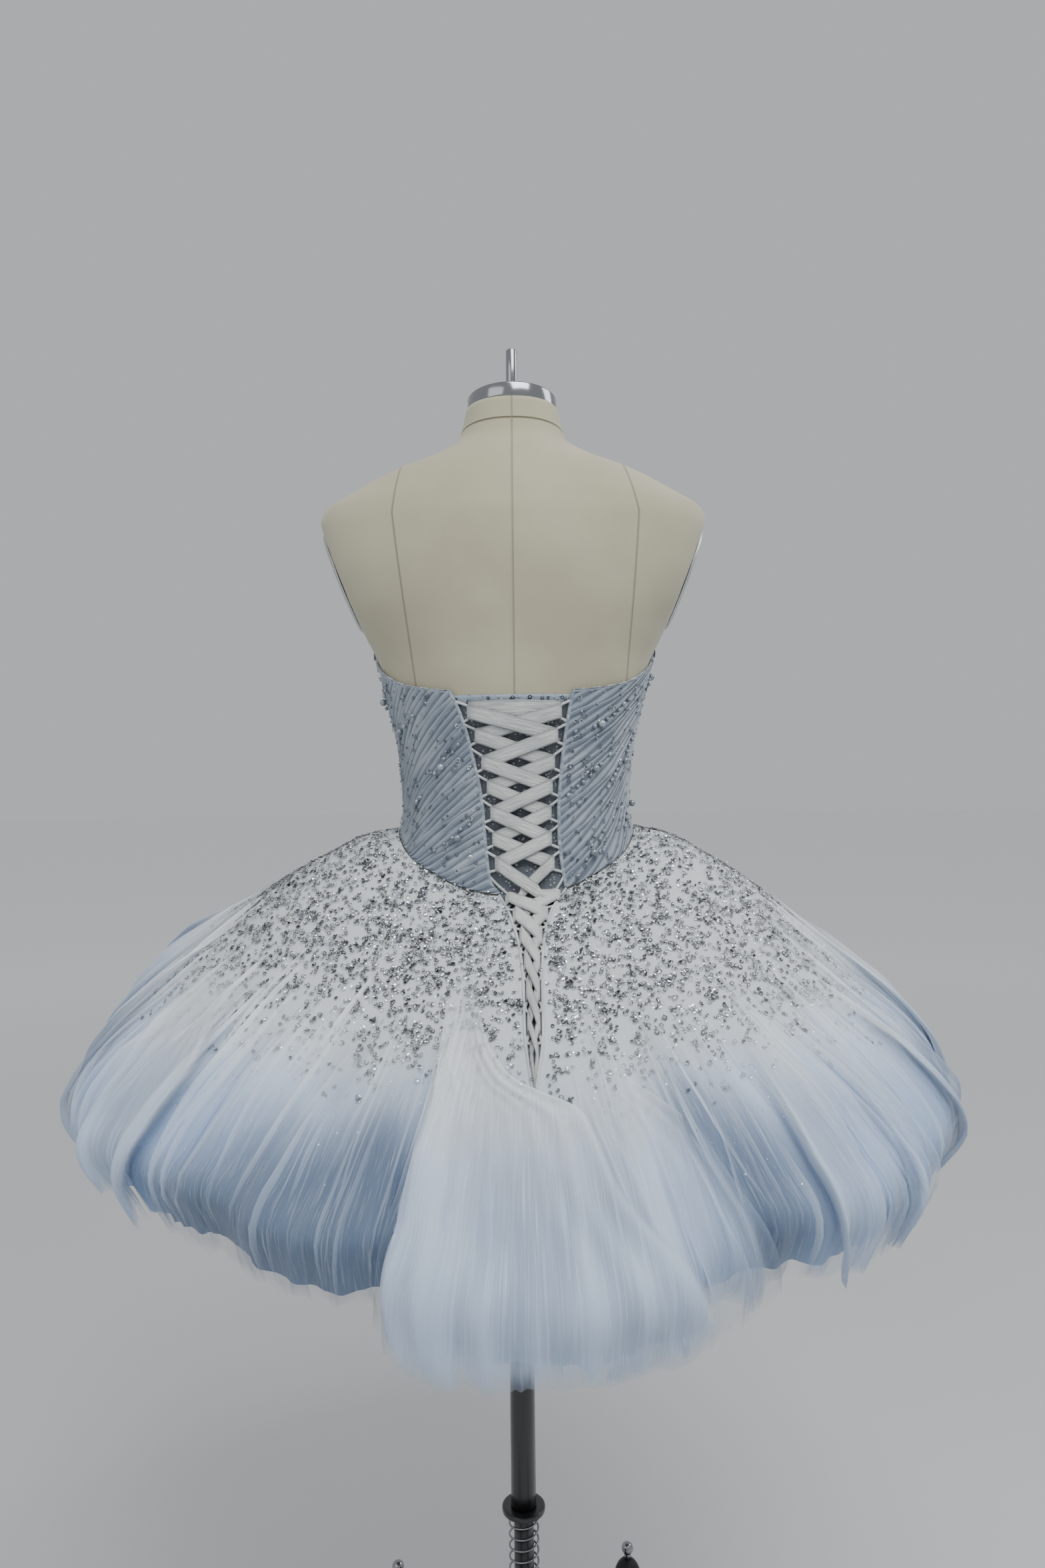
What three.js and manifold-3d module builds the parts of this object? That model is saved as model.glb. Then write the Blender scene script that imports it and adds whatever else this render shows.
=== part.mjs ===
// Short ball gown, laced at the back, on a limbless dress form and its stand.
// Millimetres, +Z up, floor at z 0, the pole's axis on x 0 and y 0.
// The gown's back faces -Y. Angles round the body are in degrees from -Y towards +X.
import * as THREE from 'three';
import { mergeVertices } from 'three/addons/utils/BufferGeometryUtils.js';
import Module from 'manifold-3d';

const wasm = await Module();
wasm.setup();

// General
const seamGap = 0.3;
const edgeShare = 0.5;
const rad = THREE.MathUtils.degToRad;
const deg = THREE.MathUtils.radToDeg;

// Dress form
const formColumns = 28;
const formSquareness = 2.3;
const bust = { z: 1212, reach: 19, angle: 38, spread: 25, height: 56 };
const neckTilt = 5;
const neckTop = 1470;
const armPlane = { x: 178, z: 1294, tilt: 20.6 };
const plateThickness = 3;
const formRing = { from: 930, to: 1266, step: 24 };

// Each section of the form: half its width, and its depth behind and in front of the pole's axis
const formSections = [
  { z: 800, width: 166, back: 108, front: 98 },
  { z: 860, width: 168, back: 110, front: 98 },
  { z: 930, width: 158, back: 105, front: 95 },
  { z: 985, width: 136, back: 97, front: 90 },
  { z: 1035, width: 118, back: 91, front: 84 },
  { z: 1060, width: 114.5, back: 90, front: 82 },
  { z: 1081, width: 116, back: 90, front: 84 },
  { z: 1113, width: 119, back: 91, front: 90 },
  { z: 1137, width: 123.5, back: 93, front: 97 },
  { z: 1170, width: 132, back: 96, front: 106 },
  { z: 1206, width: 141.5, back: 99, front: 112 },
  { z: 1237, width: 158, back: 102, front: 110 },
  { z: 1270, width: 180, back: 104, front: 104 },
  { z: 1305, width: 197, back: 105, front: 95 },
  { z: 1345, width: 204, back: 102, front: 84 },
  { z: 1363, width: 199, back: 98, front: 78 },
  { z: 1380, width: 173, back: 93, front: 72 },
  { z: 1402, width: 131, back: 84, front: 62 },
  { z: 1418, width: 88, back: 74, front: 56 },
  { z: 1438, width: 57.5, back: 58, front: 50 },
  { z: 1480, width: 46.5, back: 46, front: 46 },
];

// Bodice: height of its top edge and of its pointed waist seam, by angle from centre back to centre front
const bodiceEdges = [
  { angle: 0, top: 1171, waist: 973 },
  { angle: 12, top: 1171, waist: 975 },
  { angle: 26, top: 1171, waist: 980 },
  { angle: 36, top: 1172, waist: 988 },
  { angle: 47, top: 1175, waist: 999 },
  { angle: 60, top: 1181, waist: 1012 },
  { angle: 74, top: 1194, waist: 1027 },
  { angle: 90, top: 1210, waist: 1036 },
  { angle: 110, top: 1234, waist: 1030 },
  { angle: 130, top: 1255, waist: 1012 },
  { angle: 144, top: 1261, waist: 999 },
  { angle: 160, top: 1244, waist: 985 },
  { angle: 172, top: 1216, waist: 976 },
  { angle: 180, top: 1206, waist: 973 },
];
const unrolledRadius = 112;
const bodiceLift = { side: 0.6, lacing: 3.2, from: 52, to: 66 };
const bodiceThickness = 2;
const pleatHeight = 1.5;
const pleatFoldAt = 0.82;
const panelCut = { rows: 10, outside: 14, inside: -6, slabInside: -8 };

// Lacing edges on the bodice: their places either side of the axis, by height
const lacingEdges = [
  { z: 976, left: -16, right: 47.3 },
  { z: 986, left: -23.6, right: 45.5 },
  { z: 1006, left: -26.6, right: 42.6 },
  { z: 1031, left: -28.9, right: 40.6 },
  { z: 1056, left: -30.6, right: 40.6 },
  { z: 1081, left: -34.2, right: 42.4 },
  { z: 1109, left: -40.4, right: 45.4 },
  { z: 1134, left: -46.6, right: 48.9 },
  { z: 1154, left: -53.5, right: 52.4 },
  { z: 1172, left: -62.5, right: 56.5 },
];
const modesty = { top: 1167, bottom: 981, under: 11, lift: 0.6, thickness: 1.3 };

// Laced vent in the skirt, by share of the skirt's length; below its tip the seam is closed
const ventEdges = [
  { share: 0, left: -16, right: 47.3 },
  { share: 0.09, left: -5.2, right: 31 },
  { share: 0.2, left: 3.6, right: 23.3 },
  { share: 0.29, left: 6.7, right: 21.3 },
  { share: 0.42, left: 7.8, right: 20.6 },
  { share: 0.54, left: 13.2, right: 14 },
];
const ventTip = 0.54;
const centreSeamAngle = 2.7;

// Lacing: loop cords and one ribbon, lifts measured from the lacing bed
const bedLift = 5;
const cord = { radius: 1.6, lift: -1.1, gap: 0.9, reach: 8.5, narrowShare: 0.26, half: 5, foot: 11 };
const ribbon = {
  half: 8,
  thickness: 1,
  step: 1.3,
  lowest: 1.4,
  foldInset: 7,
  narrowInset: 1.5,
  foldOut: 0.9,
  waistAngle: 10,
  waistAt: 0.75,
};
const bodiceLevels = [1150, 1127, 1101, 1077, 1052, 1027, 1003];
const ventLevels = [0.015, 0.08, 0.145, 0.21, 0.275, 0.34];
const ventRibbonHalf = 0.019;

// Skirt
const clothThickness = 2.5;
const waistGap = 0.9;
const gatherCount = 56;
const gatherHeight = 4.6;
const gatherStart = 0.3;
const edgePull = 5;
const skirtShares = [0, 0.07, 0.2, 0.36, 0.52, 0.67, 0.8, 0.91, 1];

// Line from the waist seam to the hem at the sides and at the back, as shares of reach and drop
const sideLine = [
  { share: 0, out: 0, down: 0 },
  { share: 0.08, out: 0.126, down: 0.03 },
  { share: 0.16, out: 0.24, down: 0.095 },
  { share: 0.3, out: 0.42, down: 0.215 },
  { share: 0.42, out: 0.555, down: 0.335 },
  { share: 0.6, out: 0.77, down: 0.52 },
  { share: 0.74, out: 0.92, down: 0.67 },
  { share: 0.84, out: 0.985, down: 0.77 },
  { share: 0.92, out: 1, down: 0.86 },
  { share: 1, out: 0.92, down: 1 },
];
const backLine = [
  { share: 0, out: 0, down: 0 },
  { share: 0.08, out: 0.095, down: 0.045 },
  { share: 0.16, out: 0.185, down: 0.105 },
  { share: 0.3, out: 0.34, down: 0.225 },
  { share: 0.42, out: 0.475, down: 0.34 },
  { share: 0.56, out: 0.625, down: 0.48 },
  { share: 0.7, out: 0.78, down: 0.62 },
  { share: 0.82, out: 0.905, down: 0.75 },
  { share: 0.92, out: 1, down: 0.875 },
  { share: 1, out: 0.985, down: 1 },
];

// Hem round the skirt: its reach from the axis and its height
const hem = [
  { angle: -168, radius: 428, z: 800 },
  { angle: -138, radius: 420, z: 806 },
  { angle: -112, radius: 446, z: 830 },
  { angle: -92, radius: 428, z: 778 },
  { angle: -74, radius: 431, z: 742 },
  { angle: -56, radius: 421, z: 738 },
  { angle: -40, radius: 406, z: 735 },
  { angle: -26, radius: 403, z: 722 },
  { angle: -14, radius: 403, z: 716 },
  { angle: -8, radius: 425, z: 701 },
  { angle: 4, radius: 432, z: 694 },
  { angle: 14, radius: 428, z: 697 },
  { angle: 20, radius: 424, z: 710 },
  { angle: 28, radius: 426, z: 731 },
  { angle: 38, radius: 434, z: 731 },
  { angle: 48, radius: 428, z: 737 },
  { angle: 60, radius: 424, z: 740 },
  { angle: 74, radius: 421, z: 745 },
  { angle: 92, radius: 421, z: 754 },
  { angle: 116, radius: 428, z: 790 },
  { angle: 142, radius: 430, z: 802 },
  { angle: 166, radius: 432, z: 800 },
];

// Deep folds that part the skirt's lobes
const valleys = [
  { angle: -11, depth: 36, width: 6 },
  { angle: 21, depth: 34, width: 7 },
  { angle: 49, depth: 18, width: 8 },
  { angle: -34, depth: 10, width: 8 },
  { angle: -54, depth: 14, width: 8 },
  { angle: 78, depth: 19, width: 9 },
  { angle: -90, depth: 30, width: 8 },
  { angle: 104, depth: 22, width: 9 },
  { angle: 130, depth: 24, width: 10 },
  { angle: 154, depth: 20, width: 9 },
  { angle: 180, depth: 24, width: 10 },
  { angle: -154, depth: 22, width: 9 },
  { angle: -126, depth: 24, width: 9 },
];
const valleyStart = 0.18;

// Petticoat, inside the skirt
const petticoat = { columns: 42, thickness: 1.8, top: 0.05, clear: 12.5, gap: 0.8, hemUp: 6 };
const petticoatCorner = { angle: 27, down: 17, width: 6 };
const petticoatShares = [0, 0.1, 0.3, 0.6, 1];

// Neck cap and pin
const cap = { radius: 47, thickness: 16, edge: 1.5 };
const pin = { radius: 5.9, length: 55 };

// Pole, flange, spring and stand
const pole = { radius: 13.15, rodRadius: 10.5, shoulder: 318.3, bottom: 42, sides: 20 };
const flange = { radius: 22.8, thickness: 6 };
const spring = { outer: 16.25, wire: 1.05, turns: 9.5, sections: 8, sides: 4 };
const hub = { top: 198, bottom: 40, topRadius: 24, midRadius: 32, baseRadius: 30, clearance: 0.3 };
const legAngles = [39.5, 129.5, 219.5, 309.5];
const legReach = 193;
const legLine = [
  { out: 32.3, top: 184, bottom: 128, half: 12 },
  { out: 60, top: 180, bottom: 138, half: 10.5 },
  { out: 100, top: 168, bottom: 138, half: 9.5 },
  { out: 145, top: 147, bottom: 122, half: 9.5 },
  { out: 178, top: 134, bottom: 108, half: 11 },
  { out: 193, top: 132, bottom: 105, half: 12 },
];
const boss = { radius: 17, bottom: 105, dome: 152, shoulder: 128 };
const foot = { padRadius: 24, padHeight: 18, stemRadius: 9 };
const ball = { radius: 7, neckRadius: 4.2, neckHeight: 6, sides: 8 };

// Finishes
const finish = {
  bodice: { color: 0xa3b2c2, roughness: 0.55, metalness: 0 },
  modesty: { color: 0x8d9aa8, roughness: 0.5, metalness: 0 },
  satin: { color: 0xd6dad9, roughness: 0.35, metalness: 0 },
  skirt: { color: 0xbccbe4, roughness: 0.7, metalness: 0 },
  net: { color: 0xb9b5ab, roughness: 0.8, metalness: 0 },
  linen: { color: 0xb7b398, roughness: 0.85, metalness: 0 },
  steel: { color: 0xb5b8ba, roughness: 0.3, metalness: 1 },
  plate: { color: 0xc9cccd, roughness: 0.45, metalness: 0.6 },
  black: { color: 0x121214, roughness: 0.4, metalness: 0.2 },
  iron: { color: 0x17171a, roughness: 0.5, metalness: 0.5 },
  rubber: { color: 0x1b1b1b, roughness: 0.8, metalness: 0 },
};

// Reads a table at a place, along smooth curves that never overshoot its rows
function lookup(table, key, at, column) {
  const last = table.length - 1;
  if (at <= table[0][key]) return table[0][column];
  if (at >= table[last][key]) return table[last][column];
  let row = 0;
  while (table[row + 1][key] < at) row += 1;
  const slope = (a) => (table[a + 1][column] - table[a][column]) / (table[a + 1][key] - table[a][key]);
  const bend = (a) => {
    if (a <= 0 || a >= last) return a <= 0 ? slope(0) : slope(last - 1);
    const before = slope(a - 1);
    const after = slope(a);
    return before * after <= 0 ? 0 : (2 * before * after) / (before + after);
  };
  const span = table[row + 1][key] - table[row][key];
  const s = (at - table[row][key]) / span;
  const rise = s * s * (3 - 2 * s);
  return table[row][column] * (1 - rise) + table[row + 1][column] * rise
    + span * (bend(row) * s * (1 - s) ** 2 - bend(row + 1) * s * s * (1 - s));
}

// Turns an angle into the range from -180 to 180
function wrap(angle) {
  return THREE.MathUtils.euclideanModulo(angle + 180, 360) - 180;
}

// Reads the hem's table, which goes all the way round
function hemAt(angle, column) {
  const turned = wrap(angle);
  const first = { ...hem[0], angle: hem[0].angle + 360 };
  const before = { ...hem[hem.length - 1], angle: hem[hem.length - 1].angle - 360 };
  return lookup([before, ...hem, first], 'angle', turned, column);
}

function smooth(value, from, to) {
  return THREE.MathUtils.smoothstep(value, Math.min(from, to), Math.max(from, to));
}

function polar(radius, angle, z) {
  return new THREE.Vector3(radius * Math.sin(rad(angle)), -radius * Math.cos(rad(angle)), z);
}

// Closed solid from its points and triangles, with its faces pointing out
function solid(points, triangles) {
  let volume = 0;
  for (const [a, b, c] of triangles) {
    volume += points[a].dot(new THREE.Vector3().crossVectors(points[b], points[c]));
  }
  const index = volume < 0 ? triangles.map(([a, b, c]) => [a, c, b]) : triangles;
  const geometry = new THREE.BufferGeometry();
  geometry.setAttribute('position', new THREE.Float32BufferAttribute(points.flatMap((p) => p.toArray()), 3));
  geometry.setIndex(index.flat());
  geometry.computeVertexNormals();
  return geometry;
}

// Wall between two grids of points, outer[row][column] and inner[row][column]
function wall(outer, inner, ring) {
  const rows = outer.length;
  const columns = outer[0].length;
  const points = [...outer.flat(), ...inner.flat()];
  const out = (r, c) => r * columns + (c % columns);
  const within = (r, c) => rows * columns + out(r, c);
  const triangles = [];
  const quad = (a, b, c, d) => triangles.push([a, b, c], [a, c, d]);
  const spans = ring ? columns : columns - 1;
  for (let c = 0; c < spans; c += 1) {
    for (let r = 0; r < rows - 1; r += 1) {
      quad(out(r, c), out(r + 1, c), out(r + 1, c + 1), out(r, c + 1));
      quad(within(r, c), within(r, c + 1), within(r + 1, c + 1), within(r + 1, c));
    }
    quad(out(0, c), out(0, c + 1), within(0, c + 1), within(0, c));
    quad(out(rows - 1, c), within(rows - 1, c), within(rows - 1, c + 1), out(rows - 1, c + 1));
  }
  for (let r = 0; r < rows - 1 && !ring; r += 1) {
    const end = columns - 1;
    quad(out(r, 0), within(r, 0), within(r + 1, 0), out(r + 1, 0));
    quad(out(r, end), out(r + 1, end), within(r + 1, end), within(r, end));
  }
  return solid(points, triangles);
}

// Solid through closed rings of points, with its two ends capped
function loft(rings) {
  const count = rings[0].length;
  const points = rings.flat();
  const triangles = [];
  for (let r = 0; r < rings.length - 1; r += 1) {
    for (let c = 0; c < count; c += 1) {
      const next = (c + 1) % count;
      const a = r * count + c;
      const b = r * count + next;
      triangles.push([a, b, b + count], [a, b + count, a + count]);
    }
  }
  const top = (rings.length - 1) * count;
  for (let c = 1; c < count - 1; c += 1) {
    triangles.push([0, c + 1, c], [top, top + c, top + c + 1]);
  }
  return solid(points, triangles);
}

function toManifold(geometry) {
  const bare = new THREE.BufferGeometry();
  bare.setAttribute('position', geometry.getAttribute('position').clone());
  if (geometry.index) bare.setIndex(geometry.index.clone());
  const merged = mergeVertices(bare, 1e-4);
  return new wasm.Manifold(new wasm.Mesh({
    numProp: 3,
    vertProperties: new Float32Array(merged.getAttribute('position').array),
    triVerts: new Uint32Array(merged.index.array),
  }));
}

function fromManifold(manifold) {
  const mesh = manifold.getMesh();
  const geometry = new THREE.BufferGeometry();
  geometry.setAttribute('position', new THREE.Float32BufferAttribute(mesh.vertProperties, 3));
  geometry.setIndex(Array.from(mesh.triVerts));
  geometry.computeVertexNormals();
  return geometry;
}

// Solid of revolution about Z from pairs of radius and height
function turned(profile, sides) {
  const geometry = new THREE.LatheGeometry(profile.map(([r, z]) => new THREE.Vector2(r, z)), sides);
  return geometry.rotateX(Math.PI / 2);
}

const group = new THREE.Group();

function add(name, geometry, look, parent = group) {
  const mesh = new THREE.Mesh(geometry, new THREE.MeshStandardMaterial(look));
  mesh.name = name;
  parent.add(mesh);
  return mesh;
}

// Reach of the form's smooth surface at a height and angle
function smoothRadius(z, angle) {
  const across = Math.sin(rad(angle));
  const along = Math.cos(rad(angle));
  const width = lookup(formSections, 'z', z, 'width');
  const depth = lookup(formSections, 'z', z, along > 0 ? 'back' : 'front');
  const power = formSquareness;
  const plain = (Math.abs(across / width) ** power + Math.abs(along / depth) ** power) ** (-1 / power);
  const fromCup = (Math.abs(wrap(angle - 180)) - bust.angle) / bust.spread;
  const fromLevel = (z - bust.z) / bust.height;
  return plain + bust.reach * Math.exp(-fromCup * fromCup - fromLevel * fromLevel);
}

// Heights of the form's rings, closer together under the bodice
const formRings = formSections.map(({ z }) => z).filter((z) => z < formRing.from || z > formRing.to);
for (let z = formRing.from; z <= formRing.to; z += formRing.step) {
  formRings.push(z);
}
formRings.sort((a, b) => a - b);

// Reach of the form's faceted surface, straight from ring to ring, so that the cloth follows it
function formRadius(z, angle) {
  const above = formRings.findIndex((ring) => ring > z);
  if (above < 1) return smoothRadius(z, angle);
  const low = formRings[above - 1];
  const share = (z - low) / (formRings[above] - low);
  return THREE.MathUtils.lerp(smoothRadius(low, angle), smoothRadius(formRings[above], angle), share);
}

function bodyPoint(z, angle, lift) {
  return polar(formRadius(z, angle) + lift, angle, z);
}

// Angle at which the body's surface is that far to the side, at a height
function angleAtX(z, x, lift) {
  let angle = 0;
  for (let pass = 0; pass < 8; pass += 1) {
    angle = deg(Math.asin(x / (formRadius(z, angle) + lift)));
  }
  return angle;
}

function bodiceEdge(angle, column) {
  return lookup(bodiceEdges, 'angle', Math.abs(wrap(angle)), column);
}

// Large slab beyond a plane: its point, and its outward direction as a tilt about Y or X
function beyond(point, turn) {
  const size = 400;
  const slab = new THREE.BoxGeometry(size, size, size).translate(0, 0, size / 2);
  slab.applyMatrix4(new THREE.Matrix4().makeRotationFromEuler(turn)).translate(...point);
  return toManifold(slab);
}

// The form's faceted surface as a solid, grown by a lift that may change round it
function grownForm(liftAt) {
  const step = 360 / formColumns;
  const rings = formRings.map((z) => (
    Array.from({ length: formColumns }, (_, c) => bodyPoint(z, c * step, liftAt(c * step)))
  ));
  return toManifold(loft(rings));
}

// The form's trunk, flat where the neck cap and the armhole plates sit
function formTorso() {
  let trunk = grownForm(() => 0);
  trunk = trunk.subtract(beyond([0, 0, neckTop], new THREE.Euler(rad(-neckTilt), 0, 0)));
  for (const side of [-1, 1]) {
    const turn = new THREE.Euler(0, side * rad(90 + armPlane.tilt), 0);
    trunk = trunk.subtract(beyond([side * armPlane.x, 0, armPlane.z], turn));
  }
  return fromManifold(trunk);
}

// Oval plate on the flat of an armhole
function armholePlate(side) {
  const tilt = rad(armPlane.tilt);
  const size = { deep: 46, tall: 56, rim: 3 };
  const outward = new THREE.Vector3(side * Math.cos(tilt), 0, -Math.sin(tilt));
  const up = new THREE.Vector3(side * Math.sin(tilt), 0, Math.cos(tilt));
  const across = new THREE.Vector3(0, 1, 0);
  const centre = new THREE.Vector3(side * armPlane.x, 0, armPlane.z);
  const oval = (inset, height) => Array.from({ length: 20 }, (_, c) => {
    const turn = (c / 20) * 2 * Math.PI;
    return centre.clone()
      .addScaledVector(outward, height)
      .addScaledVector(across, Math.cos(turn) * (size.deep - inset))
      .addScaledVector(up, Math.sin(turn) * (size.tall - inset));
  });
  const rimHeight = seamGap + plateThickness * edgeShare;
  return loft([oval(0, seamGap), oval(0, rimHeight), oval(size.rim, seamGap + plateThickness)]);
}

// How far the bodice's inside lies off the form: more over the modesty panel
function bodiceInside(angle) {
  const near = 1 - smooth(Math.abs(wrap(angle)), bodiceLift.from, bodiceLift.to);
  return bodiceLift.side + (bodiceLift.lacing - bodiceLift.side) * near;
}

// Pleated wall of one bodice panel, cut to the panel's outline
function bodicePanel(panel) {
  const cutter = { outer: [], inner: [] };
  for (let r = 0; r <= panelCut.rows; r += 1) {
    cutter.outer.push([]);
    cutter.inner.push([]);
    for (let c = 0; c <= panel.cutColumns; c += 1) {
      let z = 1090;
      let angle = 0;
      for (let pass = 0; pass < 6; pass += 1) {
        angle = THREE.MathUtils.lerp(panel.from(z), panel.to(z), c / panel.cutColumns);
        z = THREE.MathUtils.lerp(bodiceEdge(angle, 'top'), bodiceEdge(angle, 'waist'), r / panelCut.rows);
      }
      cutter.outer[r].push(bodyPoint(z, angle, panelCut.outside));
      cutter.inner[r].push(bodyPoint(z, angle, panelCut.inside));
    }
  }
  const slab = { outer: [], inner: [] };
  const slopeAt = (z) => Math.tan(rad(THREE.MathUtils.lerp(
    panel.slopeLow,
    panel.slopeHigh,
    THREE.MathUtils.clamp((z - 975) / 200, 0, 1),
  )));
  for (let z = panel.firstPleat; z < panel.lastPleat; z += panel.pitch) {
    for (const [at, high] of [[0, 0], [pleatFoldAt, 1]]) {
      const start = z + at * panel.pitch;
      const outer = [];
      const inner = [];
      for (let c = 0; c <= panel.columns; c += 1) {
        const angle = THREE.MathUtils.lerp(panel.edgeAngle, panel.farAngle, c / panel.columns);
        const run = rad(angle - panel.edgeAngle) * unrolledRadius;
        const height = start + run * slopeAt(start);
        outer.push(bodyPoint(height, angle, bodiceInside(angle) + bodiceThickness + high * pleatHeight));
        inner.push(bodyPoint(height, angle, panelCut.slabInside));
      }
      slab.outer.push(outer);
      slab.inner.push(inner);
    }
  }
  const pleated = toManifold(wall(slab.outer, slab.inner, false));
  const cut = pleated.intersect(toManifold(wall(cutter.outer, cutter.inner, false)));
  return fromManifold(cut.subtract(grownForm(bodiceInside)));
}

function lacingAngle(z, side) {
  return angleAtX(z, lookup(lacingEdges, 'z', z, side), bedLift);
}

const sideSeam = 90 - deg(seamGap * edgeShare / unrolledRadius);

const bodicePanels = {
  bodice_back_left: {
    from: () => -sideSeam,
    to: (z) => lacingAngle(z, 'left'),
    edgeAngle: -5,
    farAngle: -97,
    firstPleat: 972,
    lastPleat: 1330,
    pitch: 8.6,
    slopeLow: 15,
    slopeHigh: 33,
    columns: 7,
    cutColumns: 7,
  },
  bodice_back_right: {
    from: (z) => lacingAngle(z, 'right'),
    to: () => sideSeam,
    edgeAngle: 20,
    farAngle: 97,
    firstPleat: 868,
    lastPleat: 1200,
    pitch: 8.6,
    slopeLow: 40,
    slopeHigh: 19,
    columns: 6,
    cutColumns: 7,
  },
  bodice_front: {
    from: () => 180 - sideSeam,
    to: () => 180 + sideSeam,
    edgeAngle: 83,
    farAngle: 277,
    firstPleat: 770,
    lastPleat: 1262,
    pitch: 16,
    slopeLow: 28,
    slopeHigh: 28,
    columns: 13,
    cutColumns: 18,
  },
};

// Thin panel that closes the lacing gap, tucked under both back panels
function modestyPanel() {
  const rows = 6;
  const columns = 8;
  const outer = [];
  const inner = [];
  for (let r = 0; r <= rows; r += 1) {
    const z = THREE.MathUtils.lerp(modesty.top, modesty.bottom, r / rows);
    const left = lookup(lacingEdges, 'z', z, 'left') - modesty.under;
    const right = lookup(lacingEdges, 'z', z, 'right') + modesty.under;
    const angles = Array.from({ length: columns + 1 }, (_, c) => (
      angleAtX(z, THREE.MathUtils.lerp(left, right, c / columns), modesty.lift)
    ));
    outer.push(angles.map((angle) => bodyPoint(z, angle, modesty.lift + modesty.thickness)));
    inner.push(angles.map((angle) => bodyPoint(z, angle, modesty.lift)));
  }
  return wall(outer, inner, false);
}

// Point of the skirt's smooth outer surface, at an angle and a share of the way from waist to hem
function skirtPoint(angle, share) {
  const waistZ = bodiceEdge(angle, 'waist') - waistGap;
  const waistRadius = formRadius(waistZ, angle) + bedLift;
  const behind = Math.max(0, Math.cos(rad(angle))) ** 2;
  const mix = (column) => THREE.MathUtils.lerp(
    lookup(sideLine, 'share', share, column),
    lookup(backLine, 'share', share, column),
    behind,
  );
  const depth = smooth(share, valleyStart, 1);
  const sunk = valleys.reduce((sum, fold) => {
    const away = Math.abs(wrap(angle - fold.angle)) / fold.width;
    return sum + fold.depth * Math.exp(-(away ** 1.25));
  }, 0);
  const radius = waistRadius + (hemAt(angle, 'radius') - waistRadius) * mix('out') - sunk * depth;
  return polar(radius, angle, waistZ - (waistZ - hemAt(angle, 'z')) * mix('down'));
}

// The skirt's outward direction there
function skirtNormal(angle, share) {
  const turn = 0.6;
  const step = 0.01;
  const across = skirtPoint(angle + turn, share).sub(skirtPoint(angle - turn, share));
  const down = skirtPoint(angle, Math.min(1, share + step)).sub(skirtPoint(angle, Math.max(0, share - step)));
  return new THREE.Vector3().crossVectors(down, across).normalize();
}

function liftedSkirtPoint(angle, share, lift) {
  return skirtPoint(angle, share).addScaledVector(skirtNormal(angle, share), lift);
}

// Angle of one vent edge at a share of the skirt's length, then of the closed seam below it
function ventAngle(share, side) {
  const sign = side === 'left' ? -1 : 1;
  if (share > ventTip) {
    const radius = skirtPoint(centreSeamAngle, share).length();
    return centreSeamAngle + sign * deg(seamGap * edgeShare / Math.min(radius, 400));
  }
  const x = lookup(ventEdges, 'share', share, side);
  let angle = centreSeamAngle;
  for (let pass = 0; pass < 8; pass += 1) {
    const p = skirtPoint(angle, share);
    angle = deg(Math.asin(x / Math.hypot(p.x, p.y)));
  }
  return angle;
}

// One skirt panel: its gathers are pairs of columns, raised and sunk in turn
function skirtPanel(panel) {
  const gather = 360 / gatherCount;
  const columns = 2 * Math.round((panel.last - panel.first) / gather);
  const outer = [];
  const inner = [];
  for (const share of skirtShares) {
    const outerRow = [];
    const innerRow = [];
    for (let c = 0; c <= columns; c += 1) {
      const edge = c === 0 || c === columns;
      const uneven = edge ? 0 : 0.22 * Math.sin(c * 2.3 + panel.first);
      const across = (c + uneven) / columns;
      const plain = THREE.MathUtils.lerp(panel.first, panel.last, across);
      const startShift = (panel.start(share) - panel.first) * (1 - across) ** edgePull;
      const endShift = (panel.end(share) - panel.last) * across ** edgePull;
      const angle = plain + startShift + endShift;
      const tall = gatherHeight * (0.75 + 0.25 * Math.sin(c * 1.9 + panel.last));
      const raised = edge ? 0 : (c % 2 ? 1 : -1) * tall * smooth(share, gatherStart, 1);
      outerRow.push(liftedSkirtPoint(angle, share, raised));
      innerRow.push(liftedSkirtPoint(angle, share, raised - clothThickness));
    }
    outer.push(outerRow);
    inner.push(innerRow);
  }
  return wall(outer, inner, false);
}

const skirtSide = 90 - deg(seamGap * edgeShare / 120);
const skirtPanels = {
  skirt_back_left: {
    first: -skirtSide,
    last: centreSeamAngle,
    start: () => -skirtSide,
    end: (share) => ventAngle(share, 'left'),
  },
  skirt_back_right: {
    first: centreSeamAngle,
    last: skirtSide,
    start: (share) => ventAngle(share, 'right'),
    end: () => skirtSide,
  },
  skirt_front: {
    first: 180 - skirtSide,
    last: 180 + skirtSide,
    start: () => 180 - skirtSide,
    end: () => 180 + skirtSide,
  },
};

// Stiff net ring inside the skirt, sewn in just under the waist seam and clear of the skirt's folds
function petticoatRing() {
  const outer = [];
  const inner = [];
  const reach = (p) => Math.hypot(p.x, p.y);
  for (const share of petticoatShares) {
    const at = petticoat.top + share * (1 - petticoat.top);
    const lift = -clothThickness - petticoat.gap - petticoat.clear * smooth(share, 0, 0.2);
    const row = Array.from({ length: petticoat.columns }, (none, c) => {
      const angle = (c / petticoat.columns) * 360;
      const away = wrap(angle - petticoatCorner.angle) / petticoatCorner.width;
      const drop = (petticoatCorner.down * Math.exp(-away * away) - petticoat.hemUp) * share ** 3;
      const side = skirtNormal(angle, at);
      const own = skirtPoint(angle, at);
      const nearby = [-9, -5, 0, 5, 9].map((turn) => reach(skirtPoint(angle + turn, at)));
      const sunk = (reach(own) - Math.min(...nearby)) * smooth(share, 0.1, 0.4);
      const p = own.addScaledVector(side, lift).add(polar(-sunk, angle, -drop));
      return [p, p.clone().addScaledVector(side, -petticoat.thickness)];
    });
    outer.push(row.map((pair) => pair[0]));
    inner.push(row.map((pair) => pair[1]));
  }
  return wall(outer, inner, true);
}

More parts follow.
